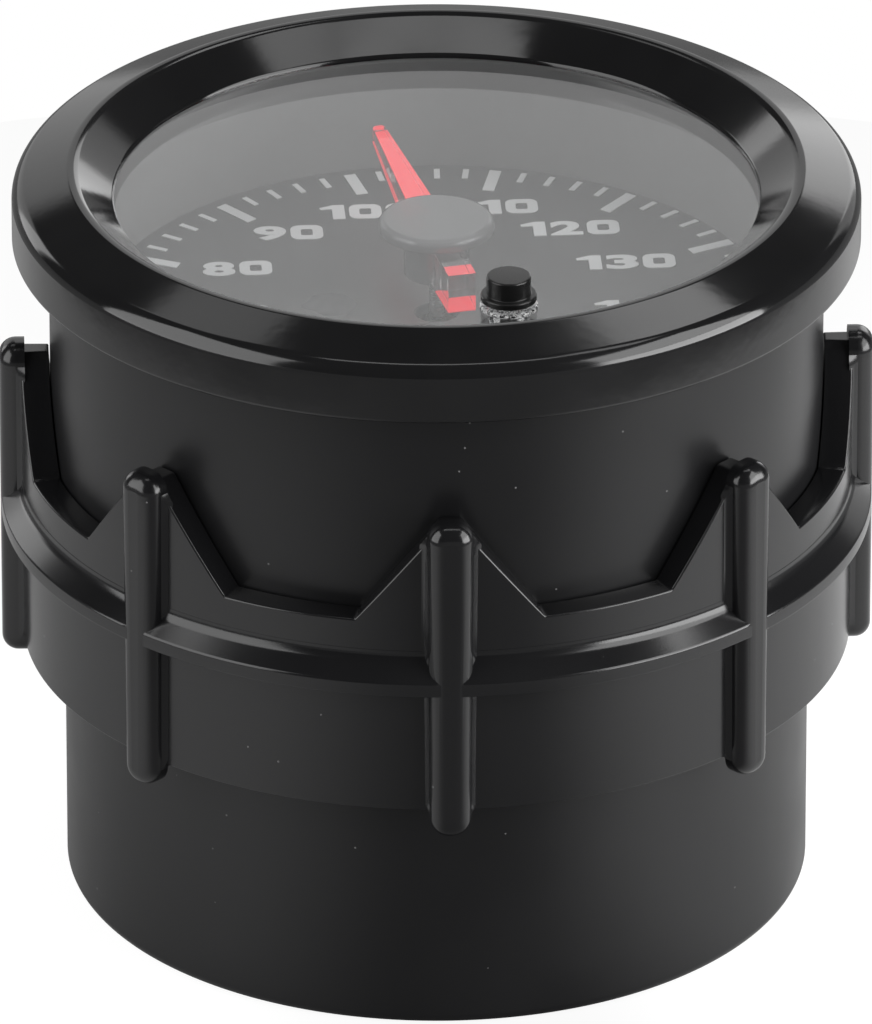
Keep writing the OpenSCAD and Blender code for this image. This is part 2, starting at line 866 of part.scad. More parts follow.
module rear_screws() {
    cross_w = 0.7;
    cross_l = 2.7;
    color("#9a9c9e") at_pillars() difference() {
        union() {
            disc(head_d / 2, counterbore - head_h, counterbore);
            disc(screw_d / 2, counterbore - EPS, z_screw_tip);
        }
        for (a = [0, 90]) rotate([0, 0, a])
            block(cross_l, cross_w, counterbore - head_h - EPS, counterbore - head_h / 2);
    }
}

module driver_chip() {
    color("#202224") translate([0, chip_y, 0])
        block(chip_l, chip_w, z_power_top, z_power_top + chip_h);
}

module voltage_regulator() {
    color("#27292b") translate([regulator_inset - board_r, 0, 0])
        block(regulator_w, regulator_l, z_power_top, z_power_top + regulator_h);
}

module smoothing_capacitor() {
    color("#30406a") translate([board_r - capacitor_inset, 0, 0])
        disc(capacitor_d / 2, z_power_top, z_power_top + capacitor_h);
}

module link_pins() {
    color("#c8a850") translate([0, link_inset - board_r, 0]) at_pins(link_count)
        block(pin_side, pin_side, z_power_top, z_main);
}

module at_pins(count = pin_count) {
    for (i = [0 : count - 1])
        translate([(i - (count - 1) / 2) * pin_pitch, 0, 0]) children();
}

module socket_housing() {
    color("#e6e2d4") at_socket() difference() {
        block(socket_l + 2 * socket_wall, socket_w + 2 * socket_wall, z_mouth, z_power);
        block(socket_l, socket_w, z_mouth - OVER, z_roof);
        at_pins() square_hole(pin_side, z_roof, z_power);
    }
}

module socket_pins() {
    color("#c8a850") at_socket() at_pins()
        block(pin_side, pin_side, z_pin_end, z_power_top + pin_tail);
}

module switch_body() {
    color("#2a2a2c") at_button() difference() {
        block(switch_side, switch_side, z_main_top, z_switch_top);
        disc(stem_r + stem_fit, z_switch_top - stem_sink - button_travel - stem_spare, z_switch_top + OVER);
    }
}

module switch_stem() {
    color("#d8d4c8") at_button() disc(stem_r, z_switch_top - stem_sink, z_stem_top);
}

module button_cap() {
    r = button_d / 2;
    edge = 0.15;
    color("#101010") at_button() difference() {
        union() {
            disc(flange_d / 2, z_button, z_button + flange_t);
            rotate_extrude() {
                translate([0, z_button]) square([r, button_h - edge]);
                translate([0, z_button]) square([r - edge, button_h]);
                translate([r - edge, z_button_top - edge]) circle(r = edge, $fn = 32);
            }
        }
        disc(rod_d / 2 + bore_fit, z_button - OVER, z_rod_top);
    }
}

module push_rod() {
    color("#101010") at_button() disc(rod_d / 2, z_stem_top, z_rod_top);
}

module button_collar() {
    color("#dfe6ea", 0.35) at_button() difference() {
        union() {
            disc(collar_d / 2, z_lens_top, z_collar_top);
            disc(sleeve_r, z_lens - sleeve_drop, z_lens_top + EPS);
        }
        disc(rod_d / 2 + rod_fit, z_lens - OVER, z_collar_top + OVER);
    }
}

can();
bezel();
lens();
lens_gasket();
clamp_ring();
dial_shroud();
dial_plate();
dial_marks();
needle();
needle_foil();
hub_cap();
spindle();
rotor_magnet();
front_former();
rear_former();
inner_coil();
outer_coil();
magnetic_shield();
movement_bridge();
spindle_bearings();
movement_screws();
light_guide();
reflector_tray();
diodes();
main_board();
power_board();
front_pillars();
rear_pillars();
board_screws();
rear_screws();
driver_chip();
voltage_regulator();
smoothing_capacitor();
link_pins();
socket_housing();
socket_pins();
switch_body();
switch_stem();
button_cap();
push_rod();
button_collar();
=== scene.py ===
# %% [markdown]
# A round water temperature gauge, standing on its back. The construction is
# already there as a fixed frame, so this lesson only dresses it: each shown
# piece is modelled again with soft edges and full curves, and every piece
# gets a finish. Sizes are written in millimetres and turned into metres.

# %% Load the frame
import json
import math

import bmesh
import bpy
from mathutils import Matrix, Vector


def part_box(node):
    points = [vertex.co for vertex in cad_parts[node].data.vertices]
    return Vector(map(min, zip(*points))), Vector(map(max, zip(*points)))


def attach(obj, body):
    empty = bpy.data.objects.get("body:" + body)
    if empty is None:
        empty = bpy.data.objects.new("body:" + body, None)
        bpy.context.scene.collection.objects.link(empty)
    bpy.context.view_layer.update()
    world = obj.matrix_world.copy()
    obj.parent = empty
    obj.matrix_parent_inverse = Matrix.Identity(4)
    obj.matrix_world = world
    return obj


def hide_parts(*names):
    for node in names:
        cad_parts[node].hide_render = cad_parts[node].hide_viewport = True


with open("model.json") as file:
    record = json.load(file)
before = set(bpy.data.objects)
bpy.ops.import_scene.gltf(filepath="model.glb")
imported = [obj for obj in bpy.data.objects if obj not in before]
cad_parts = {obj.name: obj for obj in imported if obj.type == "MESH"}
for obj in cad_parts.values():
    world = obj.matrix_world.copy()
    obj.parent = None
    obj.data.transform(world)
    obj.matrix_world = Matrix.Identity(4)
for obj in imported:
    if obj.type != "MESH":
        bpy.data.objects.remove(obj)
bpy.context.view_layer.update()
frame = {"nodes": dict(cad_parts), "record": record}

MM = 0.001

# %% [markdown]
# The camera comes first, because every later choice is judged through it. It
# stands 1.2 m away with a long lens, so the round can keeps almost parallel
# sides. A tiny step along its own right and up puts the gauge in the frame.

# %% Camera
CAMERA_TURN = -3.6
CAMERA_RISE = 26.7
CAMERA_DISTANCE = 1200
FOCAL_LENGTH = 624.4
AIM_HEIGHT = 25
STEP_RIGHT = -0.03
STEP_UP = 0.71

bpy.ops.object.select_all(action="DESELECT")
bpy.ops.object.camera_add()
camera = bpy.context.object
turn, rise = math.radians(CAMERA_TURN), math.radians(CAMERA_RISE)
back = Vector((math.sin(turn) * math.cos(rise), -math.cos(turn) * math.cos(rise), math.sin(rise)))
look = (-back).to_track_quat("-Z", "Y")
step = look @ Vector((STEP_RIGHT, STEP_UP, 0))
camera.rotation_mode = "QUATERNION"
camera.rotation_quaternion = look
camera.location = (Vector((0, 0, AIM_HEIGHT)) + back * CAMERA_DISTANCE + step) * MM
camera.data.lens = FOCAL_LENGTH
camera.data.clip_start = 0.1
camera.data.clip_end = 20
bpy.context.scene.camera = camera
bpy.context.scene.view_settings.view_transform = "Standard"
print("Camera at", [round(v, 3) for v in camera.location])

# %% [markdown]
# Shader maths is easier to read as Python than as a web of nodes. A Link is
# one output of a node, and + - * / on it add Math nodes. Any other node comes
# from node(), which takes a type, its settings and the values of its sockets.

# %% Shader helpers
class Link:
    """One output of a node."""

    def __init__(self, tree, socket):
        self.tree, self.socket = tree, socket

    def maths(self, operation, *values):
        return node(self.tree, "ShaderNodeMath", {"operation": operation}, dict(enumerate(values)))

    def __add__(self, other):
        return self.maths("ADD", self, other)

    def __radd__(self, other):
        return self.maths("ADD", other, self)

    def __sub__(self, other):
        return self.maths("SUBTRACT", self, other)

    def __rsub__(self, other):
        return self.maths("SUBTRACT", other, self)

    def __mul__(self, other):
        return self.maths("MULTIPLY", self, other)

    def __rmul__(self, other):
        return self.maths("MULTIPLY", other, self)

    def __truediv__(self, other):
        return self.maths("DIVIDE", self, other)

    def __gt__(self, other):
        return self.maths("GREATER_THAN", self, other)

    def __lt__(self, other):
        return self.maths("LESS_THAN", self, other)

    def at_most(self, other):
        return self.maths("MINIMUM", self, other)

    def at_least(self, other):
        return self.maths("MAXIMUM", self, other)


def node(tree, kind, settings=None, inputs=None, output=0):
    """Adds a node: its settings first, then the values or links of its sockets."""
    made = tree.nodes.new(kind)
    for name, value in (settings or {}).items():
        setattr(made, name, value)
    for name, value in (inputs or {}).items():
        if isinstance(value, Link):
            tree.links.new(value.socket, made.inputs[name])
        else:
            made.inputs[name].default_value = value
    return Link(tree, made.outputs[output]) if made.outputs else None


def new_finish(name):
    """An empty material: its node tree, ready for the nodes of a finish."""
    material = bpy.data.materials.new(name)
    material.use_nodes = True
    material.node_tree.nodes.clear()
    return material, material.node_tree


def show(tree, shader):
    node(tree, "ShaderNodeOutputMaterial", None, {"Surface": shader})


def place(tree):
    """Object coordinates: metres in the gauge's own frame."""
    return node(tree, "ShaderNodeTexCoord", output="Object")


def noise(tree, size, detail=2.0, stretch=None):
    """Cloudy noise whose lumps are about size millimetres across."""
    where = place(tree)
    if stretch:
        where = node(tree, "ShaderNodeMapping", None, {"Vector": where, "Scale": stretch})
    values = {"Vector": where, "Scale": 1 / (size * MM), "Detail": detail}
    return node(tree, "ShaderNodeTexNoise", None, values)


def ramp(tree, value, low, high, to_low=0.0, to_high=1.0):
    """A smooth step of value from low to high."""
    values = {"Value": value, "From Min": low, "From Max": high, "To Min": to_low, "To Max": to_high}
    return node(tree, "ShaderNodeMapRange", {"interpolation_type": "SMOOTHSTEP"}, values)


def blend(tree, factor, first, second):
    """Colour between first and second."""
    return node(tree, "ShaderNodeMix", {"data_type": "RGBA"}, {0: factor, 6: first, 7: second}, output=2)


def bump(tree, height, strength, depth):
    """Normal that follows a height of depth millimetres."""
    values = {"Height": height, "Strength": strength, "Distance": depth * MM}
    return node(tree, "ShaderNodeBump", None, values)


def grey(level):
    return (level, level, level, 1)


print("Shader helpers are ready")

# %% [markdown]
# The stage is a small round pale table. For the camera it fades to white but
# keeps the soft shadow. The black walls mirror it, so its colour carries
# painted shade and painted light: dim in front, as painted shade where the
# camera stands, and bright at the sides, as painted light. Seen from below it
# is clear, so that the back can be looked at too.

# %% Floor
TABLE_R = 120
FLOOR_PAINTED_SHADE = 0.16
FLOOR_PAINTED_LIGHT_LEFT = 0.62
FLOOR_PAINTED_LIGHT_RIGHT = 0.85
RIGHT_FADE = (0.25, 0.85)
LEFT_FADE = (0.1, 0.8)
CAMERA_WHITE = 1.18
CAMERA_SHARE = 0.78

bpy.ops.object.select_all(action="DESELECT")
bpy.ops.mesh.primitive_circle_add(vertices=128, radius=TABLE_R * MM, fill_type="NGON",
                                  location=(0, 0, -0.02 * MM))
floor = bpy.context.object
floor.name = "floor"
bpy.ops.object.transform_apply(location=True)
floor_finish, tree = new_finish("pale_floor")
path = node(tree, "ShaderNodeLightPath", output="Is Camera Ray")
where = place(tree)
reach = node(tree, "ShaderNodeVectorMath", {"operation": "LENGTH"}, {0: where}, output="Value")
parts = node(tree, "ShaderNodeSeparateXYZ", None, {0: where})
turned_right = parts / reach
# Painted shade in front and painted light at the right and left sides, in the floor's colour.
shade_and_light_tint = blend(tree, ramp(tree, turned_right, *RIGHT_FADE), grey(FLOOR_PAINTED_SHADE), grey(FLOOR_PAINTED_LIGHT_RIGHT))
shade_and_light_tint = blend(tree, ramp(tree, turned_right * -1, *LEFT_FADE), shade_and_light_tint, grey(FLOOR_PAINTED_LIGHT_LEFT))
lit = node(tree, "ShaderNodeBsdfDiffuse", None, {"Color": shade_and_light_tint})
white = node(tree, "ShaderNodeEmission", None, {"Color": grey(1), "Strength": CAMERA_WHITE})
above = node(tree, "ShaderNodeMixShader", None, {0: path * CAMERA_SHARE, 1: lit, 2: white})
below = node(tree, "ShaderNodeBsdfTransparent")
side = node(tree, "ShaderNodeNewGeometry", output="Backfacing")
show(tree, node(tree, "ShaderNodeMixShader", None, {0: side, 1: above, 2: below}))
floor.data.materials.append(floor_finish)
print("Floor laid")

# %% [markdown]
# Black plastic shows nothing but what it mirrors, so the light is drawn as a
# studio: a low backdrop behind the gauge with a brighter panel at each side of
# its middle, a dark room round it, two strips of light overhead, two patches
# high behind and tall boxes at the sides. Camera rays see plain white, and
# rough surfaces get an even fill.

# %% World
FILL = 0.5
BACKDROP = 0.85
SIDE_PANELS = 1.5
DARK_ROOM = 0.05
BELOW = 0.25
LOW_EDGE = 0.43
MIDDLE_RISE = 0.25
MIDDLE = (-0.08, 0.2)
PANEL_RIGHT = (0.27, 0.6)
PANEL_LEFT = (-1.1, -0.62)
BACKDROP_SPAN = (-1.2, 1.0)


def window(tree, value, low, high, soft=0.03):
    """1 between low and high, with soft edges."""
    rise = ramp(tree, value, low - soft, low + soft)
    return rise * ramp(tree, value, high - soft, high + soft, 1.0, 0.0)


world = bpy.data.worlds.new("studio")
bpy.context.scene.world = world
world.use_nodes = True
tree = world.node_tree
tree.nodes.clear()
direction = node(tree, "ShaderNodeTexCoord", output="Generated")
across = node(tree, "ShaderNodeSeparateXYZ", None, {0: direction}, output="X")
depth = node(tree, "ShaderNodeSeparateXYZ", None, {0: direction}, output="Y")
height = node(tree, "ShaderNodeSeparateXYZ", None, {0: direction}, output="Z")
turn_right = across / depth.at_least(0.001)
edge = window(tree, turn_right, *MIDDLE, 0.05) * MIDDLE_RISE + LOW_EDGE
below_edge = ramp(tree, height - edge, -0.02, 0.03, 1.0, 0.0)
panels = window(tree, turn_right, *PANEL_RIGHT) + window(tree, turn_right, *PANEL_LEFT)
backdrop = window(tree, turn_right, *BACKDROP_SPAN, 0.1) * below_edge * (depth > 0.01)
room = backdrop * (panels * SIDE_PANELS + BACKDROP) * (height > 0) + (height < 0) * BELOW
room = room.at_least(DARK_ROOM)
sees_camera = node(tree, "ShaderNodeLightPath", output="Is Camera Ray")
sees_gloss = node(tree, "ShaderNodeLightPath", output="Is Glossy Ray")
sees_glass = node(tree, "ShaderNodeLightPath", output="Is Transmission Ray")
mirrored = (sees_gloss + sees_glass).at_most(1.0)
level = mirrored * room + (1 - mirrored) * FILL
level = sees_camera + (1 - sees_camera) * level
light = node(tree, "ShaderNodeBackground", None, {"Color": grey(1), "Strength": level})
node(tree, "ShaderNodeOutputWorld", None, {"Surface": light})
print("World lit")


# %% Lamps
def soft_box(name, spot, aim, wide, high, level):
    """A rectangular lamp whose face shines at level, where 1 is white. Places are in mm."""
    bpy.ops.object.select_all(action="DESELECT")
    bpy.ops.object.light_add(type="AREA")
    lamp = bpy.context.object
    lamp.name = name
    lamp.data.shape = "RECTANGLE"
    lamp.data.size = wide * MM
    lamp.data.size_y = high * MM
    lamp.data.energy = level * math.pi * wide * high * MM * MM
    lamp.location = Vector(spot) * MM
    lamp.rotation_mode = "QUATERNION"
    lamp.rotation_quaternion = (Vector(aim) - Vector(spot)).to_track_quat("-Z", "Y")
    lamp.visible_camera = False
    return lamp


soft_box("strip_overhead", (0, -50, 450), (0, -50, 0), 250, 44, 2.7)
soft_box("strip_right", (175, 0, 450), (175, 0, 0), 110, 90, 2.4)
soft_box("patch_left", (-139, 250, 454), (0, -22, 50), 110, 100, 1.1)
soft_box("patch_right", (150, 250, 454), (0, -22, 50), 120, 110, 2.8)
soft_box("side_left", (-300, -137, 215), (0, -137, 215), 326, 400, 3.0)
soft_box("side_right_low", (300, -200, 75), (0, -200, 75), 360, 150, 8.0)
soft_box("side_right_high", (300, -200, 290), (0, -200, 290), 360, 270, 4.5)

# %% [markdown]
# Modelling helpers. Everything is deselected before a primitive is added, and
# pick() then selects points, edges or faces by their place, as a hand would.

# %% Modelling helpers
def activate(piece):
    bpy.ops.object.select_all(action="DESELECT")
    piece.select_set(True)
    bpy.context.view_layer.objects.active = piece


def edit(piece):
    activate(piece)
    bpy.ops.object.mode_set(mode="EDIT")


def leave():
    bpy.ops.object.mode_set(mode="OBJECT")


def pick(piece, kind, test):
    """In edit mode: selects the items of a kind, VERT, EDGE or FACE, that pass the test."""
    bpy.ops.mesh.select_mode(type=kind)
    bpy.ops.mesh.select_all(action="DESELECT")
    mesh = bmesh.from_edit_mesh(piece.data)
    items = {"VERT": mesh.verts, "EDGE": mesh.edges, "FACE": mesh.faces}[kind]
    chosen = [item for item in items if test(item)]
    for item in chosen:
        item.select_set(True)
    mesh.select_flush_mode()
    bmesh.update_edit_mesh(piece.data)
    return len(chosen)


def tidy_mesh(gap=1e-7):
    """In edit mode: closes seams and turns every face outwards."""
    bpy.ops.mesh.select_all(action="SELECT")
    bpy.ops.mesh.remove_doubles(threshold=gap)
    bpy.ops.mesh.delete_loose()
    bpy.ops.mesh.select_all(action="SELECT")
    bpy.ops.mesh.normals_make_consistent(inside=False)


def smooth(piece, angle=32):
    activate(piece)
    bpy.ops.object.shade_smooth_by_angle(angle=math.radians(angle))


def apply_modifier(piece, kind, **settings):
    """Adds a modifier with these settings and applies it at once."""
    activate(piece)
    bpy.ops.object.modifier_add(type=kind)
    modifier = piece.modifiers[-1]
    for name, value in settings.items():
        setattr(modifier, name, value)
    bpy.ops.object.modifier_apply(modifier=modifier.name)


def carve(piece, tool, operation="DIFFERENCE"):
    """Cuts piece with tool, or joins them, and removes the tool."""
    apply_modifier(piece, "BOOLEAN", operation=operation, solver="EXACT", object=tool)
    bpy.data.objects.remove(tool)


def fit(piece, body, slot, finish, *nodes):
    """Gives a piece its finish and the CAD body and nodes that it stands for. The slot is not used."""
    apply_modifier(piece, "WEIGHTED_NORMAL", keep_sharp=True, weight=100)
    piece.data.materials.clear()
    piece.data.materials.append(finish)
    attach(piece, body)
    if nodes:
        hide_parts(*nodes)
    piece.data.calc_loop_triangles()
    print(piece.name, len(piece.data.loop_triangles), "triangles")


# %% [markdown]
# Most of the gauge is round. Such a piece is drawn as half of its section: a
# plane is merged to one point, the point is extruded from corner to corner,
# the corners are rounded by bevelling them, and the outline is spun.

# %% Turned pieces
def corner_turn(before, here, after):
    """How far the outline turns at a corner, in radians."""
    one, two = here - before, after - here
    return one.angle(two)


def turned(name, corners, steps=192, centre=(0, 0)):
    """A solid of revolution. Each corner is (radius, height, rounding) in mm."""
    points = [Vector((r, 0, z)) * MM for r, z, _ in corners]
    bpy.ops.object.select_all(action="DESELECT")
    bpy.ops.mesh.primitive_plane_add(size=MM, location=(0, 0, 0))
    piece = bpy.context.object
    piece.name = name
    piece.data.name = name
    edit(piece)
    bpy.ops.mesh.select_all(action="SELECT")
    bpy.ops.mesh.merge(type="CENTER")
    bpy.ops.mesh.select_mode(type="VERT")
    bpy.ops.mesh.select_all(action="SELECT")
    bpy.ops.transform.translate(value=points[0])
    for here, there in zip(points, points[1:]):
        bpy.ops.mesh.extrude_vertices_move(TRANSFORM_OT_translate={"value": there - here})
    bpy.ops.mesh.select_all(action="SELECT")
    bpy.ops.mesh.edge_face_add()
    for i, (_, _, rounding) in enumerate(corners):
        if rounding:
            here = points[i]
            turning = corner_turn(points[i - 1], here, points[(i + 1) % len(points)])
            pick(piece, "VERT", lambda v: (v.co - here).length < 1e-7)
            segments = max(2, round(math.degrees(turning) / 8))
            offset = rounding * MM * math.tan(turning / 2)
            bpy.ops.mesh.bevel(offset=offset, segments=segments, affect="VERTICES", clamp_overlap=False)
    bpy.ops.mesh.select_all(action="SELECT")
    bpy.ops.mesh.delete(type="ONLY_FACE")
    bpy.ops.mesh.select_all(action="SELECT")
    bpy.ops.mesh.spin(steps=steps, angle=2 * math.pi, center=(0, 0, 0), axis=(0, 0, 1))
    tidy_mesh()
    bpy.ops.transform.translate(value=(centre[0] * MM, centre[1] * MM, 0))
    leave()
    smooth(piece)
    return piece


def low_high(name):
    """Lowest and highest height and the outer radius of a CAD node, in mm."""
    low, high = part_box(name)
    return low.z / MM, high.z / MM, (high.x - low.x) / 2 / MM


print("Turned pieces are ready")

# %% [markdown]
# Finishes. The plastics are nearly black: their look is gloss, so what varies
# is the roughness and a fine moulded grain, with a few specks of dust. The
# bezel is painted metal with the faint orange peel of a sprayed coat.

# %% Black finishes
SPECK_GAP = 1.6
SPECK_SIZE = 0.045


def moulded(name, colour, rough, specular, grain=0.12, grain_depth=0.004, dust=0.0):
    """Moulded plastic: grain in the surface, cloudy gloss and specks of dust."""
    material, tree = new_finish(name)
    clouds = noise(tree, 14, 3)
    fine = noise(tree, grain, 3)
    tone = ramp(tree, clouds, 0.3, 0.7, 0.85, 1.2)
    roughness = ramp(tree, clouds, 0.3, 0.7, rough - 0.03, rough + 0.04)
    dark = tuple(0.8 * c for c in colour) + (1,)
    pale = tuple(1.25 * c for c in colour) + (1,)
    shade = blend(tree, tone - 0.5, dark, pale)
    if dust:
        grid = {"Vector": place(tree), "Scale": 1 / (SPECK_GAP * MM)}
        cells = node(tree, "ShaderNodeTexVoronoi", None, grid)
        specks = (cells < SPECK_SIZE) * (noise(tree, 5, 1) > 0.56) * dust
        shade = blend(tree, specks, shade, grey(0.35))
        roughness = roughness + specks * 0.3
    values = {"Base Color": shade, "Roughness": roughness, "Specular IOR Level": specular}
    values["Normal"] = bump(tree, fine, 0.35, grain_depth)
    show(tree, node(tree, "ShaderNodeBsdfPrincipled", None, values))
    return material


can_black = moulded("can_black", (0.006, 0.006, 0.0065), 0.33, 0.38, dust=0.3)
ring_black = moulded("ring_black", (0.006, 0.006, 0.0065), 0.17, 0.5, dust=0.3)
# The shroud's mid grey is painted light: the black wall is made paler to stand in for the light that
# falls on it.
shroud_black = moulded("shroud_black", (0.16, 0.16, 0.161), 0.5, 0.3)
dial_black = moulded("dial_black", (0.074, 0.074, 0.076), 0.3, 0.4, grain=0.2, grain_depth=0.002)
hub_black = moulded("hub_black", (0.1, 0.1, 0.102), 0.2, 0.6, grain=0.1)
button_black = moulded("button_black", (0.006, 0.006, 0.006), 0.26, 0.45)
gasket_rubber = moulded("gasket_rubber", (0.02, 0.02, 0.02), 0.7, 0.3)
chip_black = moulded("chip_black", (0.03, 0.03, 0.03), 0.45, 0.4)
print("Black plastics ready")


# %% Bezel paint
PEEL = 0.9

bezel_black, tree = new_finish("bezel_black")
peel = noise(tree, PEEL, 1)
clouds = noise(tree, 9, 2)
values = {
    "Base Color": blend(tree, clouds, (0.004, 0.004, 0.0042, 1), (0.009, 0.009, 0.0095, 1)),
    "Roughness": ramp(tree, clouds, 0.3, 0.7, 0.08, 0.14),
    "Specular IOR Level": 0.5,
    "Normal": bump(tree, peel, 0.25, 0.01),
}
show(tree, node(tree, "ShaderNodeBsdfPrincipled", None, values))
print("Bezel paint ready")


# %% [markdown]
# Clear parts bend the light that the camera sees. A shadow ray can't bend, so
# for shadow and fill rays the same material is simply see-through: without
# that the dial behind the lens would stay black.

# %% Clear finishes
def clear(name, colour, ior, rough, haze=0.0, painted_glint=0.0):
    """Clear plastic with a little surface haze and, if asked, white flecks of painted highlight that
    stand in for glints.
    """
    material, tree = new_finish(name)
    scuffs = ramp(tree, noise(tree, 3, 4), 0.45, 0.75, rough, rough + haze)
    values = {"Base Color": colour, "Roughness": scuffs, "IOR": ior, "Transmission Weight": 1.0}
    glass = node(tree, "ShaderNodeBsdfPrincipled", None, values)
    if painted_glint:
        # Painted highlight: flecks of diffuse white stand in for glints on the clear plastic.
        glint_white = node(tree, "ShaderNodeBsdfDiffuse", None, {"Color": grey(0.95)})
        glint_flecks = ramp(tree, noise(tree, 0.22, 2), 0.5, 0.56) * painted_glint
        glass = node(tree, "ShaderNodeMixShader", None, {0: glint_flecks, 1: glass, 2: glint_white})
    shadow = node(tree, "ShaderNodeLightPath", output="Is Shadow Ray")
    fill = node(tree, "ShaderNodeLightPath", output="Is Diffuse Ray")
    open_air = node(tree, "ShaderNodeBsdfTransparent", None, {"Color": grey(0.93)})
    factor = (shadow + fill).at_most(1.0)
    show(tree, node(tree, "ShaderNodeMixShader", None, {0: factor, 1: glass, 2: open_air}))
    return material


lens_clear = clear("lens_clear", (0.97, 0.98, 0.98, 1), 1.53, 0.012, 0.01)
needle_clear = clear("needle_clear", (1.0, 0.9, 0.9, 1), 1.49, 0.02, 0.02)
collar_clear = clear("collar_clear", (0.97, 0.98, 0.99, 1), 1.49, 0.02, 0.05, painted_glint=0.5)
guide_clear = clear("guide_clear", (0.95, 0.98, 1.0, 1), 1.49, 0.05, 0.05)
print("Clear plastics ready")


# %% [markdown]
# The rest of the finishes belong to pieces inside: bare and brushed metal,
# moulded cream plastic, circuit board with its tracks, copper windings.

# %% Metals, print and boards
def metal(name, colour, rough, brushed=(1, 1, 12)):
    material, tree = new_finish(name)
    lines = noise(tree, 1.2, 3, stretch=brushed)
    shade = blend(tree, lines, tuple(0.8 * c for c in colour) + (1,), colour + (1,))
    values = {
        "Base Color": shade,
        "Metallic": 1.0,
        "Roughness": ramp(tree, lines, 0.3, 0.7, rough - 0.05, rough + 0.08),
        "Normal": bump(tree, lines, 0.2, 0.005),
    }
    show(tree, node(tree, "ShaderNodeBsdfPrincipled", None, values))
    return material


steel = metal("steel", (0.62, 0.63, 0.64), 0.3)
brass = metal("brass", (0.78, 0.60, 0.28), 0.28)
bronze = metal("bronze", (0.62, 0.42, 0.20), 0.42)
magnet_grey = metal("magnet_grey", (0.2, 0.2, 0.21), 0.5, (1, 1, 1))
sleeve_blue = moulded("sleeve_blue", (0.03, 0.05, 0.16), 0.25, 0.5)
former_cream = moulded("former_cream", (0.68, 0.62, 0.48), 0.42, 0.4)
socket_cream = moulded("socket_cream", (0.76, 0.72, 0.62), 0.38, 0.4)
stem_grey = moulded("stem_grey", (0.62, 0.60, 0.54), 0.4, 0.4)
diode_cream = moulded("diode_cream", (0.85, 0.80, 0.5), 0.25, 0.5)
reflector_white = moulded("reflector_white", (0.84, 0.84, 0.82), 0.5, 0.3)
print_white = moulded("print_white", (0.66, 0.665, 0.67), 0.45, 0.3, grain=0.3)
print("Plain finishes ready")


# %% Needle foil, board and winding
def foil():
    material, tree = new_finish("needle_red")
    press = noise(tree, 0.8, 3)
    values = {
        "Base Color": blend(tree, press, (0.74, 0.02, 0.045, 1), (0.86, 0.05, 0.065, 1)),
        "Roughness": ramp(tree, press, 0.3, 0.7, 0.3, 0.4),
        "Specular IOR Level": 0.4,
        # The emission is a painted glow: the foil is no lamp, yet it shines a little red of its own so
        # the needle looks lit.
        "Emission Color": (1.0, 0.02, 0.04, 1),
        "Emission Strength": 0.36,
    }
    show(tree, node(tree, "ShaderNodeBsdfPrincipled", None, values))
    return material


def circuit_board():
    material, tree = new_finish("board_green")
    grid = {"Vector": place(tree), "Scale": 1 / (4 * MM)}
    cells = node(tree, "ShaderNodeTexVoronoi", {"distance": "CHEBYCHEV", "feature": "F2"}, grid)
    tracks = ramp(tree, cells, 0.62, 0.66)
    values = {
        "Base Color": blend(tree, tracks, (0.012, 0.10, 0.035, 1), (0.03, 0.20, 0.07, 1)),
        "Roughness": ramp(tree, noise(tree, 3), 0.3, 0.7, 0.22, 0.34),
        "Normal": bump(tree, tracks, 0.5, 0.03),
    }
    show(tree, node(tree, "ShaderNodeBsdfPrincipled", None, values))
    return material


def winding():
    material, tree = new_finish("winding_copper")
    wires = node(tree, "ShaderNodeTexWave", {"bands_direction": "DIAGONAL"},
                 {"Vector": place(tree), "Scale": 1 / (0.9 * MM), "Distortion": 0.4})
    values = {
        "Base Color": blend(tree, wires, (0.25, 0.08, 0.03, 1), (0.62, 0.26, 0.1, 1)),
        "Metallic": 0.8,
        "Roughness": 0.35,
        "Normal": bump(tree, wires, 0.6, 0.05),
    }
    show(tree, node(tree, "ShaderNodeBsdfPrincipled", None, values))
    return material


needle_red = foil()
board_green = circuit_board()
winding_copper = winding()
print("Finishes:", len(bpy.data.materials))

# %% [markdown]
# The sizes that the shown pieces share, in millimetres. Most are read from
# the frame; the rest are the driving sizes of the real gauge.

# %% Shared sizes
_, CAN_RIM, CAN_R = low_high("can")
BEZEL_FOOT, BEZEL_TOP, BEZEL_R = low_high("bezel")
LENS_FOOT, LENS_TOP, LENS_R = low_high("lens")
_, DIAL_TOP, _ = low_high("dial_plate")
SHROUD_FOOT, SHROUD_TOP, SHROUD_R = low_high("dial_shroud")
HUB_FOOT, HUB_TOP, HUB_R = low_high("hub_cap")
RING_FOOT, RING_TOP, RING_R = low_high("clamp_ring")
CAP_FOOT, CAP_TOP, FLANGE_R = low_high("button_cap")
COLLAR_FOOT, COLLAR_TOP, COLLAR_R = low_high("button_collar")
WINDOW_R = 21.6
CAN_BORE = 24.4
SEAT_R = 25.2
REAR_R = 25.15
REAR_BORE = 23.55
CAN_FLOOR = 3.0
THREAD_FOOT = 19.0
print("Can", CAN_R, "bezel", BEZEL_R, BEZEL_FOOT, BEZEL_TOP, "lens top", LENS_TOP)

# %% [markdown]
# The can is one moulded shell: a floor, a slightly slimmer rear part, a
# thread and a seat for the lens. All of it is in the outline that is spun.
# The screw holes and the socket's window are cut afterwards.

# %% Can
THREAD_PITCH = 1.5
THREAD_DEPTH = 0.6
THREAD_TURNS = 8
GROOVE_MOUTH = 0.63
GROOVE_FLOOR = 0.18
SEAT_HEIGHT = LENS_FOOT - 0.4


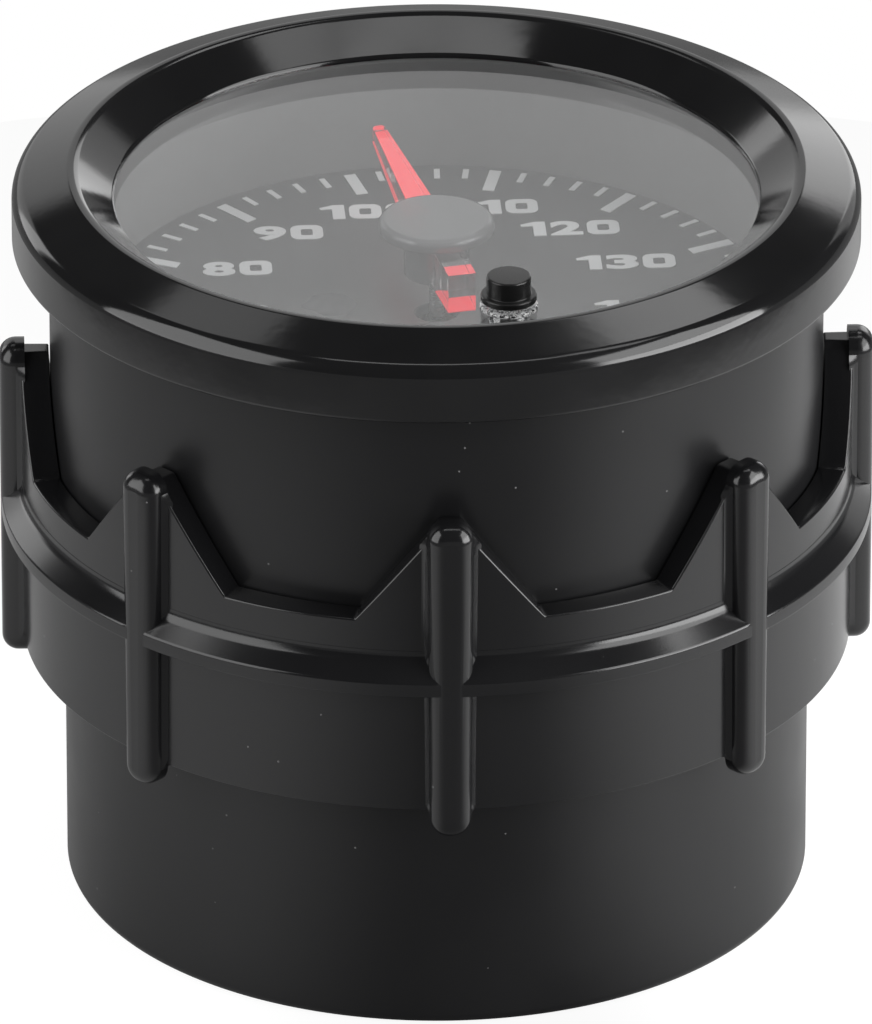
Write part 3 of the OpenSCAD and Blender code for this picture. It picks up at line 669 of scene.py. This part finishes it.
def thread_corners():
    """The grooves of the thread, from the lowest to the highest."""
    corners = []
    for i in range(THREAD_TURNS):
        middle = THREAD_FOOT + THREAD_PITCH * (i + 0.5)
        corners += [(CAN_R, middle - GROOVE_MOUTH, 0), (CAN_R - THREAD_DEPTH, middle - GROOVE_FLOOR, 0),
                    (CAN_R - THREAD_DEPTH, middle + GROOVE_FLOOR, 0), (CAN_R, middle + GROOVE_MOUTH, 0)]
    return corners


can = turned("can_shell", [
    (0, 0, 0), (REAR_R, 0, 0.8), (REAR_R, THREAD_FOOT, 0.1), (CAN_R, THREAD_FOOT, 0.05),
    *thread_corners(),
    (CAN_R, CAN_RIM, 0.1), (SEAT_R, CAN_RIM, 0.05), (SEAT_R, SEAT_HEIGHT, 0),
    (CAN_BORE, SEAT_HEIGHT, 0), (CAN_BORE, THREAD_FOOT, 0), (REAR_BORE, THREAD_FOOT, 0),
    (REAR_BORE, CAN_FLOOR, 0.5), (0, CAN_FLOOR, 0),
], steps=256)

PILLAR_ANGLES = (90, 210, 330)
PILLAR_R = 18.0
HEAD_HOLE_R = 2.4
SCREW_HOLE_R = 1.4
HEAD_HOLE_DEPTH = 1.4
HOLE_CHAMFER = 0.15
for angle in PILLAR_ANGLES:
    spot = (PILLAR_R * math.cos(math.radians(angle)), PILLAR_R * math.sin(math.radians(angle)))
    tool = turned("screw_hole", [
        (0, -1, 0), (HEAD_HOLE_R + HOLE_CHAMFER, -1, 0), (HEAD_HOLE_R + HOLE_CHAMFER, 0, 0),
        (HEAD_HOLE_R, HOLE_CHAMFER, 0), (HEAD_HOLE_R, HEAD_HOLE_DEPTH, 0),
        (SCREW_HOLE_R, HEAD_HOLE_DEPTH, 0), (SCREW_HOLE_R, 4, 0), (0, 4, 0),
    ], steps=48, centre=spot)
    carve(can, tool)


# %% [markdown]
# A block starts as a cube at its size and place. The bevel rounds the edges
# that a mould would round.

# %% Blocks
def block(name, low, high, rounding=0.0, segments=3):
    """A box between two corners in mm, with rounded edges."""
    bpy.ops.object.select_all(action="DESELECT")
    bpy.ops.mesh.primitive_cube_add(size=MM)
    piece = bpy.context.object
    piece.name = name
    piece.data.name = name
    size = [b - a for a, b in zip(low, high)]
    middle = [(a + b) / 2 * MM for a, b in zip(low, high)]
    edit(piece)
    bpy.ops.mesh.select_all(action="SELECT")
    bpy.ops.transform.resize(value=size, center_override=(0, 0, 0))
    bpy.ops.transform.translate(value=middle)
    if rounding:
        bpy.ops.mesh.bevel(offset=rounding * MM, segments=segments, affect="EDGES")
    leave()
    smooth(piece)
    return piece


SOCKET_GAP = 0.3
low, high = (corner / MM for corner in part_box("socket_housing"))
opening = block("socket_window", (low.x - SOCKET_GAP, low.y - SOCKET_GAP, -1),
                (high.x + SOCKET_GAP, high.y + SOCKET_GAP, 4), 0.3)
carve(can, opening)
smooth(can)
fit(can, "housing", "can_black", can_black, "can")

# %% [markdown]
# The bezel is turned metal: an upright side, a soft shoulder, a face that
# rises inwards to a crest, and a funnel that falls to the lens. The corners
# are placed where the straight runs would meet, and their bevels do the rest.

# %% Bezel
SHOULDER_R = 1.25
CREST_R = 0.9
LIP_R = 0.4
LIP_RISE = 0.22
SLEEVE_R = CAN_R + 0.02
FACE_SLOPE = math.tan(math.radians(19.0))
FUNNEL_SLOPE = math.tan(math.radians(38.1))
BEZEL_FALL = 2.2
CREST_TOP = LENS_TOP + 2.25

shoulder_z = CREST_TOP - BEZEL_FALL + SHOULDER_R / math.cos(math.atan(FACE_SLOPE))
shoulder_z -= SHOULDER_R * FACE_SLOPE
lip_z = LENS_TOP + LIP_RISE
both_slopes = FACE_SLOPE + FUNNEL_SLOPE
crest_r = (shoulder_z - lip_z + BEZEL_R * FACE_SLOPE + WINDOW_R * FUNNEL_SLOPE) / both_slopes
crest_z = shoulder_z + (BEZEL_R - crest_r) * FACE_SLOPE
bezel = turned("bezel_ring", [
    (BEZEL_R, BEZEL_FOOT, 0.3), (BEZEL_R, shoulder_z, SHOULDER_R), (crest_r, crest_z, CREST_R),
    (WINDOW_R, lip_z, LIP_R), (WINDOW_R, LENS_TOP, 0), (SLEEVE_R, LENS_TOP, 0),
    (SLEEVE_R, BEZEL_FOOT, 0.1),
], steps=360)
print("Crest at radius", round(crest_r, 2), "height", round(crest_z, 2))
fit(bezel, "housing", "bezel_black", bezel_black, "bezel")

# %% [markdown]
# The shroud is the black wall round the dial. Its finish is painted paler,
# as painted light on the black wall. Its inner edge under the lens has a small
# rounding that catches the light.

# %% Shroud
SHROUD_BORE = SHROUD_R - 1.4
shroud = turned("dial_shroud_wall", [
    (SHROUD_BORE, SHROUD_FOOT, 0), (SHROUD_R, SHROUD_FOOT, 0), (SHROUD_R, SHROUD_TOP, 0.1),
    (SHROUD_BORE, SHROUD_TOP, 0.2),
])
fit(shroud, "housing", "shroud_black", shroud_black, "dial_shroud")

# %% [markdown]
# The lens is a plain disc with broken edges and one hole for the button's
# collar. Its top and bottom stay flat, because a clear disc shows every dent.

# %% Lens
BUTTON_R = 17.66
BUTTON_TURN = 12.1
button_angle = math.radians(BUTTON_TURN)
BUTTON = (BUTTON_R * math.sin(button_angle), -BUTTON_R * math.cos(button_angle))
LENS_HOLE_R = 1.38
lens = turned("lens_disc", [
    (0, LENS_FOOT, 0), (LENS_R, LENS_FOOT, 0.15), (LENS_R, LENS_TOP, 0.15), (0, LENS_TOP, 0),
])
hole = turned("lens_hole", [
    (0, LENS_FOOT - 1, 0), (LENS_HOLE_R, LENS_FOOT - 1, 0), (LENS_HOLE_R, LENS_TOP + 1, 0),
    (0, LENS_TOP + 1, 0),
], steps=64, centre=BUTTON)
carve(lens, hole)
smooth(lens)
fit(lens, "housing", "lens_clear", lens_clear, "lens")

# %% [markdown]
# The clamp ring has three forms. The wall is a tube whose upper rim is raised
# in narrowing steps round each rib, which draws the slopes of the crown. Then
# it gets its thickness and fine edges. The rail is turned. A rib is shaped
# from a cube: two bevels round its ends and front, and its root is flared.

# %% Crown wall
RIB_COUNT = 8
RIB_OFFSET = 1.7
RING_BORE = CAN_R + 0.08
WALL_R = RING_BORE + 1.92
SKIRT = 17.7
VALLEY = 31.7
CROWN_RISE = 6.9
CROWN_FOOT = 13.0
CROWN_TOP = 1.5
COLUMNS = 720
COLUMN = 360 / COLUMNS


def from_rib(point):
    """Angle in degrees between a point and the nearest rib."""
    angle = math.degrees(math.atan2(-point.x, -point.y)) - RIB_OFFSET
    spacing = 360 / RIB_COUNT
    return abs((angle + spacing / 2) % spacing - spacing / 2)


bpy.ops.object.select_all(action="DESELECT")
bpy.ops.mesh.primitive_cylinder_add(vertices=COLUMNS, radius=WALL_R * MM, depth=(VALLEY - SKIRT) * MM,
                                    end_fill_type="NOTHING", location=(0, 0, 0))
wall = bpy.context.object
wall.name = "clamp_ring_body"
edit(wall)
bpy.ops.mesh.select_all(action="SELECT")
bpy.ops.transform.rotate(value=math.radians(RIB_OFFSET), orient_axis="Z", center_override=(0, 0, 0))
bpy.ops.transform.translate(value=(0, 0, (VALLEY + SKIRT) / 2 * MM))
lifts = round((CROWN_FOOT - CROWN_TOP) / COLUMN)
for lift in range(lifts):
    reach = CROWN_FOOT - (lift + 1) * COLUMN
    pick(wall, "VERT", lambda v: v.co.z > VALLEY * MM - 1e-6 and from_rib(v.co) < reach + COLUMN * 0.5)
    bpy.ops.transform.translate(value=(0, 0, CROWN_RISE / lifts * MM))
leave()
apply_modifier(wall, "SOLIDIFY", thickness=(WALL_R - RING_BORE) * MM, offset=-1.0, use_even_offset=True)
apply_modifier(wall, "BEVEL", width=0.14 * MM, segments=3, limit_method="ANGLE",
               angle_limit=math.radians(40), use_clamp_overlap=False)
print("Crown wall", len(wall.data.polygons), "faces, raised in", lifts, "lifts")

# %% Rail
RAIL_FOOT = 26.8
RAIL_FACE = 1.0
RAIL_SLOPE = 1.15
RAIL_R = WALL_R + 1.38
RAIL_BACK = WALL_R + 0.02
RAIL_LAP = 0.6
ROOT = WALL_R - 0.3
rail_top = RAIL_FOOT + RAIL_FACE + RAIL_SLOPE
rail = turned("rail", [
    (ROOT, RAIL_FOOT, 0), (RAIL_R, RAIL_FOOT, 0.12), (RAIL_R, RAIL_FOOT + RAIL_FACE, 0.25),
    (RAIL_BACK, rail_top, 0.9), (RAIL_BACK, rail_top + RAIL_LAP, 0), (ROOT, rail_top + RAIL_LAP, 0),
], steps=360)

# %% Ribs
RIB_TOP_W = 3.1
RIB_FOOT_W = 2.76
RIB_END = 1.3
RIB_EDGE = 1.1
FLARE_FROM = WALL_R + 0.28
FLARE_MIDDLE = WALL_R + 0.12
FLARE_W = 3.8
FLARE_FOOT = SKIRT + 0.4
FLARE_TOP = VALLEY + 5.6


def flared(height):
    """Whether a rib's root is flared at this height in metres."""
    return FLARE_FOOT * MM - 1e-7 < height < FLARE_TOP * MM + 1e-7


def rib(index):
    """One rib, modelled at the front and turned to its place."""
    front = -RING_R
    piece = block("rib", (-RIB_TOP_W / 2, front, RING_FOOT), (RIB_TOP_W / 2, -ROOT, RING_TOP))
    edit(piece)
    pick(piece, "VERT", lambda v: v.co.z < (RING_FOOT + 1) * MM)
    bpy.ops.transform.resize(value=(RIB_FOOT_W / RIB_TOP_W, 1, 1), center_override=(0, 0, 0))
    pick(piece, "EDGE", lambda e: abs(e.verts[0].co.y - e.verts[1].co.y) > MM)
    bpy.ops.mesh.bevel(offset=RIB_END * MM, segments=12, affect="EDGES")
    pick(piece, "EDGE", lambda e: all(abs(v.co.y - front * MM) < 1e-7 for v in e.verts))
    bpy.ops.mesh.bevel(offset=RIB_EDGE * MM, segments=8, affect="EDGES", clamp_overlap=False)
    for radius in (FLARE_FROM, FLARE_MIDDLE):
        bpy.ops.mesh.select_all(action="SELECT")
        bpy.ops.mesh.bisect(plane_co=(0, -radius * MM, 0), plane_no=(0, 1, 0))
    for level in (FLARE_FOOT, FLARE_TOP):
        bpy.ops.mesh.select_all(action="SELECT")
        bpy.ops.mesh.bisect(plane_co=(0, 0, level * MM), plane_no=(0, 0, 1))
    wide = FLARE_W / RIB_TOP_W
    pick(piece, "VERT", lambda v: v.co.y > -ROOT * MM - 1e-7 and flared(v.co.z))
    bpy.ops.transform.resize(value=(wide + 0.1, 1, 1), center_override=(0, 0, 0))
    pick(piece, "VERT", lambda v: abs(v.co.y + FLARE_MIDDLE * MM) < 1e-7 and flared(v.co.z))
    bpy.ops.transform.resize(value=(1 + (wide - 1) * 0.4, 1, 1), center_override=(0, 0, 0))
    tidy_mesh(1e-6)
    angle = math.radians(RIB_OFFSET + 360 / RIB_COUNT * index)
    bpy.ops.transform.rotate(value=angle, orient_axis="Z", center_override=(0, 0, 0))
    leave()
    return piece


carve(wall, rail, "UNION")
for index in range(RIB_COUNT):
    carve(wall, rib(index), "UNION")
smooth(wall, 35)
fit(wall, "ring", "ring_black", ring_black, "clamp_ring")

# %% [markdown]
# The needle is a clear bar with red foil under it. It starts as a cube: the
# far end is drawn in and lifted, so the bar tapers in plan and from below,
# and a fine bevel breaks its edges. A black boss holds it on the spindle. The
# foil stops short of the hub and touches the bar, so its colour shows through.

# %% Needle
NEEDLE_TURN = -10.2
NEEDLE_L = 16.6
TAIL_L = 7.2
NEEDLE_W = 2.25
TIP_W = 0.85
TAIL_W = 1.9
NEEDLE_FOOT = 43.1
NEEDLE_TOP = HUB_FOOT
TIP_DEPTH = 1.1
BOSS_FOOT = 42.6
BOSS_R = 2.2
BOSS_LAP = 0.4
TIP_ROUND = 0.3
SPINDLE_R = 0.5


def taper(piece, tip_foot):
    """Draws in the far end of a bar along Y, lifts its underside there and narrows the tail."""
    tip = TIP_W / NEEDLE_W
    pick(piece, "VERT", lambda v: v.co.y > (NEEDLE_L - 0.5) * MM)
    bpy.ops.transform.resize(value=(tip, 1, 1), center_override=(0, 0, 0))
    middle = (NEEDLE_TOP + NEEDLE_FOOT) / 2
    pick(piece, "VERT", lambda v: v.co.y > (NEEDLE_L - 0.5) * MM and v.co.z < middle * MM)
    bpy.ops.transform.translate(value=(0, 0, (tip_foot - NEEDLE_FOOT) * MM))
    pick(piece, "VERT", lambda v: v.co.y < -(TAIL_L - 0.5) * MM)
    bpy.ops.transform.resize(value=(TAIL_W / NEEDLE_W, 1, 1), center_override=(0, 0, 0))


def needle_bar():
    half = NEEDLE_W / 2
    bar = block("needle_bar", (-half, -TAIL_L, NEEDLE_FOOT), (half, NEEDLE_L, NEEDLE_TOP))
    edit(bar)
    bpy.ops.mesh.select_all(action="SELECT")
    bpy.ops.mesh.bisect(plane_co=(0, 0, 0), plane_no=(0, 1, 0))
    taper(bar, NEEDLE_TOP - TIP_DEPTH)
    pick(bar, "EDGE", lambda e: all(v.co.y > (NEEDLE_L - 0.5) * MM for v in e.verts)
         and abs(e.verts[0].co.x - e.verts[1].co.x) < 1e-7)
    bpy.ops.mesh.bevel(offset=TIP_ROUND * MM, segments=6, affect="EDGES")
    leave()
    bore = BOSS_R - BOSS_LAP
    socket = turned("socket", [(0, BOSS_FOOT - 1, 0), (bore, BOSS_FOOT - 1, 0),
                               (bore, NEEDLE_TOP + 1, 0), (0, NEEDLE_TOP + 1, 0)], steps=96)
    carve(bar, socket)
    apply_modifier(bar, "BEVEL", width=0.05 * MM, segments=2, limit_method="ANGLE",
                   angle_limit=math.radians(50), use_clamp_overlap=False)
    return bar


def set_reading(piece):
    edit(piece)
    bpy.ops.mesh.select_all(action="SELECT")
    angle = math.radians(NEEDLE_TURN)
    bpy.ops.transform.rotate(value=angle, orient_axis="Z", center_override=(0, 0, 0))
    leave()
    smooth(piece)


needle = needle_bar()
set_reading(needle)
fit(needle, "pointer", "needle_clear", needle_clear, "needle")

boss = turned("needle_boss", [
    (SPINDLE_R, BOSS_FOOT, 0), (BOSS_R, BOSS_FOOT, 0.1), (BOSS_R, NEEDLE_TOP - 0.02, 0),
    (0, NEEDLE_TOP - 0.02, 0), (0, NEEDLE_TOP - 0.4, 0), (SPINDLE_R, NEEDLE_TOP - 0.4, 0),
], steps=96)
fit(boss, "pointer", "hub_black", hub_black, "needle")

# %% Foil
FOIL_T = 0.1
FOIL_GAP_R = 3.8
FOIL_EDGE = 0.01
FOIL_SINK = 0.02


def foil_strip(name, start, end):
    """A strip of foil under the bar, from start to end along the needle."""
    def half_width(y):
        end_w, share = (TIP_W, y / NEEDLE_L) if y > 0 else (TAIL_W, -y / TAIL_L)
        return (NEEDLE_W + (end_w - NEEDLE_W) * share) / 2 - FOIL_EDGE

    def underside(y):
        rise = NEEDLE_TOP - TIP_DEPTH - NEEDLE_FOOT
        return NEEDLE_FOOT + rise * max(0.0, y / NEEDLE_L)

    strip = block(name, (-half_width(start), start, underside(start) + FOIL_SINK - FOIL_T),
                  (half_width(start), end, underside(start) + FOIL_SINK))
    edit(strip)
    pick(strip, "VERT", lambda v: v.co.y > (end - 0.01) * MM)
    draw_in = half_width(end) / half_width(start)
    bpy.ops.transform.resize(value=(draw_in, 1, 1), center_override=(0, 0, 0))
    bpy.ops.transform.translate(value=(0, 0, (underside(end) - underside(start)) * MM))
    bpy.ops.mesh.select_all(action="SELECT")
    bpy.ops.mesh.bevel(offset=0.02 * MM, segments=1, affect="EDGES")
    leave()
    return strip


front_foil = foil_strip("needle_foil_front", FOIL_GAP_R, NEEDLE_L - 0.1)
tail_foil = foil_strip("needle_foil_tail", -TAIL_L + 0.05, -FOIL_GAP_R)
for strip in (front_foil, tail_foil):
    set_reading(strip)
fit(front_foil, "pointer", "needle_red", needle_red, "needle_foil")
fit(tail_foil, "pointer", "needle_red", needle_red, "needle_foil")

# %% [markdown]
# The hub cap is a low black button over the needle's centre, with a soft
# upper edge that shows two pale patches of light.

# %% Hub cap
hub = turned("hub_cap_disc", [
    (0, HUB_FOOT, 0), (HUB_R, HUB_FOOT, 0.08), (HUB_R, HUB_TOP, 0.5), (0, HUB_TOP, 0),
], steps=160)
fit(hub, "pointer", "hub_black", hub_black, "hub_cap")

# %% [markdown]
# The push button is a small cap with a flange, riding in a clear collar. Cap
# and collar are turned round their own axis and then moved to their place.

# %% Button
CAP_R = 1.48
FLANGE_T = 0.45
ROD_R = 0.82
ROD_DEPTH = 1.05
cap = turned("button_cap_top", [
    (0, CAP_FOOT + ROD_DEPTH, 0), (ROD_R, CAP_FOOT + ROD_DEPTH, 0), (ROD_R, CAP_FOOT, 0),
    (FLANGE_R, CAP_FOOT, 0.08), (FLANGE_R, CAP_FOOT + FLANGE_T, 0.12),
    (CAP_R, CAP_FOOT + FLANGE_T, 0.08), (CAP_R, CAP_TOP, 0.13), (0, CAP_TOP, 0),
], steps=96, centre=BUTTON)
fit(cap, "button", "button_black", button_black, "button_cap")

COLLAR_BORE = 0.86
SLEEVE = 1.36
collar = turned("button_collar_ring", [
    (COLLAR_BORE, COLLAR_FOOT, 0), (SLEEVE, COLLAR_FOOT, 0.05), (SLEEVE, LENS_TOP + 0.02, 0),
    (COLLAR_R, LENS_TOP + 0.02, 0.06), (COLLAR_R, COLLAR_TOP, 0.12), (COLLAR_BORE, COLLAR_TOP, 0.06),
], steps=96, centre=BUTTON)
fit(collar, "housing", "collar_clear", collar_clear, "button_collar")

# %% [markdown]
# The dial's numbers are thin raised prints in wide, bold figures. Each figure
# is a text object stretched to its measured size. The text's 1 and 0 are too
# plain: the 1 is modelled as a bar with a slanting flag, the 0 as a slab.

# %% Dial numbers
PRINT_T = 0.05
FIGURE_H = 2.15
FIGURE_W = 2.2
FIGURE_GAP = 0.3
FIGURE_BOLD = 0.13
BAR_W = 0.85
FLAG_W = 0.85
FLAG_H = 0.62
FLAG_DROP = 0.4
PRINT_LOW = DIAL_TOP + 0.01
PRINT_HIGH = PRINT_LOW + PRINT_T
ZERO_ROUND = 0.62
ZERO_GAP = (0.8, 0.95)
GAP_ROUND = 0.15
PRINT_SHIFT = 0.4
NUMBERS = {
    "60": (-12.3, -5.2), "70": (-13.9, 0.6), "80": (-13.4, 7.45), "90": (-9.65, 12.75),
    "100": (-4.0, 15.75), "110": (4.4, 15.9), "120": (9.45, 12.3), "130": (12.85, 6.85),
    "140": (13.6, -0.1), "150": (11.9, -5.2),
}


def width(figure):
    return BAR_W + FLAG_W if figure == "1" else FIGURE_W


def figure_one():
    """The 1, with its lower left corner at the origin."""
    bar = block("figure_1", (FLAG_W, 0, PRINT_LOW), (FLAG_W + BAR_W, FIGURE_H, PRINT_HIGH))
    flag = block("flag", (0, FIGURE_H - FLAG_H, PRINT_LOW), (FLAG_W + 0.1, FIGURE_H, PRINT_HIGH))
    edit(flag)
    pick(flag, "VERT", lambda v: v.co.x < 0.1 * MM and v.co.y > (FIGURE_H - 0.1) * MM)
    bpy.ops.transform.translate(value=(0, -FLAG_DROP * MM, 0))
    pick(flag, "VERT", lambda v: v.co.x < 0.1 * MM and v.co.y < (FIGURE_H - 0.55) * MM)
    bpy.ops.transform.translate(value=(0.08 * MM, -0.06 * MM, 0))
    leave()
    carve(bar, flag, "UNION")
    return bar


def rounded_slab(name, low, high, rounding):
    """A flat slab whose four upright edges are rounded."""
    slab = block(name, low, high)
    edit(slab)
    pick(slab, "EDGE", lambda e: abs(e.verts[0].co.z - e.verts[1].co.z) > 0.01 * MM)
    bpy.ops.mesh.bevel(offset=rounding * MM, segments=6, affect="EDGES")
    leave()
    return slab


def figure_zero():
    """The 0, as square as the dial's own: a rounded slab with a rounded window."""
    slab = rounded_slab("figure_0", (0, 0, PRINT_LOW), (FIGURE_W, FIGURE_H, PRINT_HIGH), ZERO_ROUND)
    left, right = (FIGURE_W - ZERO_GAP[0]) / 2, (FIGURE_W + ZERO_GAP[0]) / 2
    foot, top = (FIGURE_H - ZERO_GAP[1]) / 2, (FIGURE_H + ZERO_GAP[1]) / 2
    below, above = PRINT_LOW - 1, PRINT_HIGH + 1
    opening = rounded_slab("opening", (left, foot, below), (right, top, above), GAP_ROUND)
    carve(slab, opening)
    return slab


def figure(value):
    """Any figure, with its lower left corner at the origin."""
    if value in "01":
        return figure_one() if value == "1" else figure_zero()
    bpy.ops.object.select_all(action="DESELECT")
    bpy.ops.object.text_add()
    text = bpy.context.object
    text.name = "figure_" + value
    text.data.body = value
    text.data.size = 3 * MM
    text.data.offset = FIGURE_BOLD * MM
    text.data.extrude = PRINT_T / 2 * MM
    activate(text)
    bpy.ops.object.convert(target="MESH")
    points = [v.co for v in text.data.vertices]
    left, right = min(p.x for p in points), max(p.x for p in points)
    foot, top = min(p.y for p in points), max(p.y for p in points)
    across, high = FIGURE_W * MM / (right - left), FIGURE_H * MM / (top - foot)
    text.data.transform(Matrix.Translation((-left, -foot, 0)))
    text.data.transform(Matrix.Diagonal((across, high, 1, 1)))
    text.data.transform(Matrix.Translation((0, 0, (PRINT_LOW + PRINT_HIGH) / 2 * MM)))
    return text


def dial_number(value, spot):
    """The figures of one number, centred on its spot in mm."""
    total = sum(width(f) for f in value) + FIGURE_GAP * (len(value) - 1)
    made, x = [], spot[0] - total / 2 + PRINT_SHIFT
    for f in value:
        piece = figure(f)
        piece.data.transform(Matrix.Translation(Vector((x, spot[1] - FIGURE_H / 2, 0)) * MM))
        made.append(piece)
        x += width(f) + FIGURE_GAP
    return made


figures = [piece for value, spot in NUMBERS.items() for piece in dial_number(value, spot)]
activate(figures[0])
for piece in figures:
    piece.select_set(True)
bpy.ops.object.join()
dial_numbers = bpy.context.object
dial_numbers.name = "dial_numbers"
fit(dial_numbers, "housing", "print_white", print_white)

# %% [markdown]
# The marks are printed with the numbers, a little to the right of the middle,
# so the frame's own marks are copied, made a little wider and moved with them.

# %% Dial marks
MARKS_WIDER = 1.012
marks = bpy.data.objects.new("dial_marks_print", frame["nodes"]["dial_marks"].data.copy())
bpy.context.scene.collection.objects.link(marks)
edit(marks)
tidy_mesh()
bpy.ops.transform.resize(value=(MARKS_WIDER, 1, 1), center_override=(0, 0, 0))
bpy.ops.transform.translate(value=(PRINT_SHIFT * MM, 0, 0))
leave()
fit(marks, "housing", "print_white", print_white, "dial_marks")

# %% [markdown]
# What is left keeps its CAD shape. Every node gets the finish of its slot,
# the hidden ones too, so that the opened gauge looks right as well.

# %% Finishes of the CAD nodes
FINISHES = {
    "can_black": can_black, "bezel_black": bezel_black, "lens_clear": lens_clear,
    "gasket_rubber": gasket_rubber, "ring_black": ring_black, "shroud_black": shroud_black,
    "dial_black": dial_black, "print_white": print_white, "needle_clear": needle_clear,
    "needle_red": needle_red, "hub_black": hub_black, "steel": steel, "magnet_grey": magnet_grey,
    "former_cream": former_cream, "winding_copper": winding_copper, "bronze": bronze,
    "guide_clear": guide_clear, "reflector_white": reflector_white, "diode_cream": diode_cream,
    "board_green": board_green, "brass": brass, "chip_black": chip_black, "sleeve_blue": sleeve_blue,
    "socket_cream": socket_cream, "stem_grey": stem_grey, "button_black": button_black,
    "collar_clear": collar_clear,
}
for part in frame["record"]["subparts"]:
    mesh = frame["nodes"][part["node"]].data
    mesh.materials.clear()
    mesh.materials.append(FINISHES[part["material_slot"]])
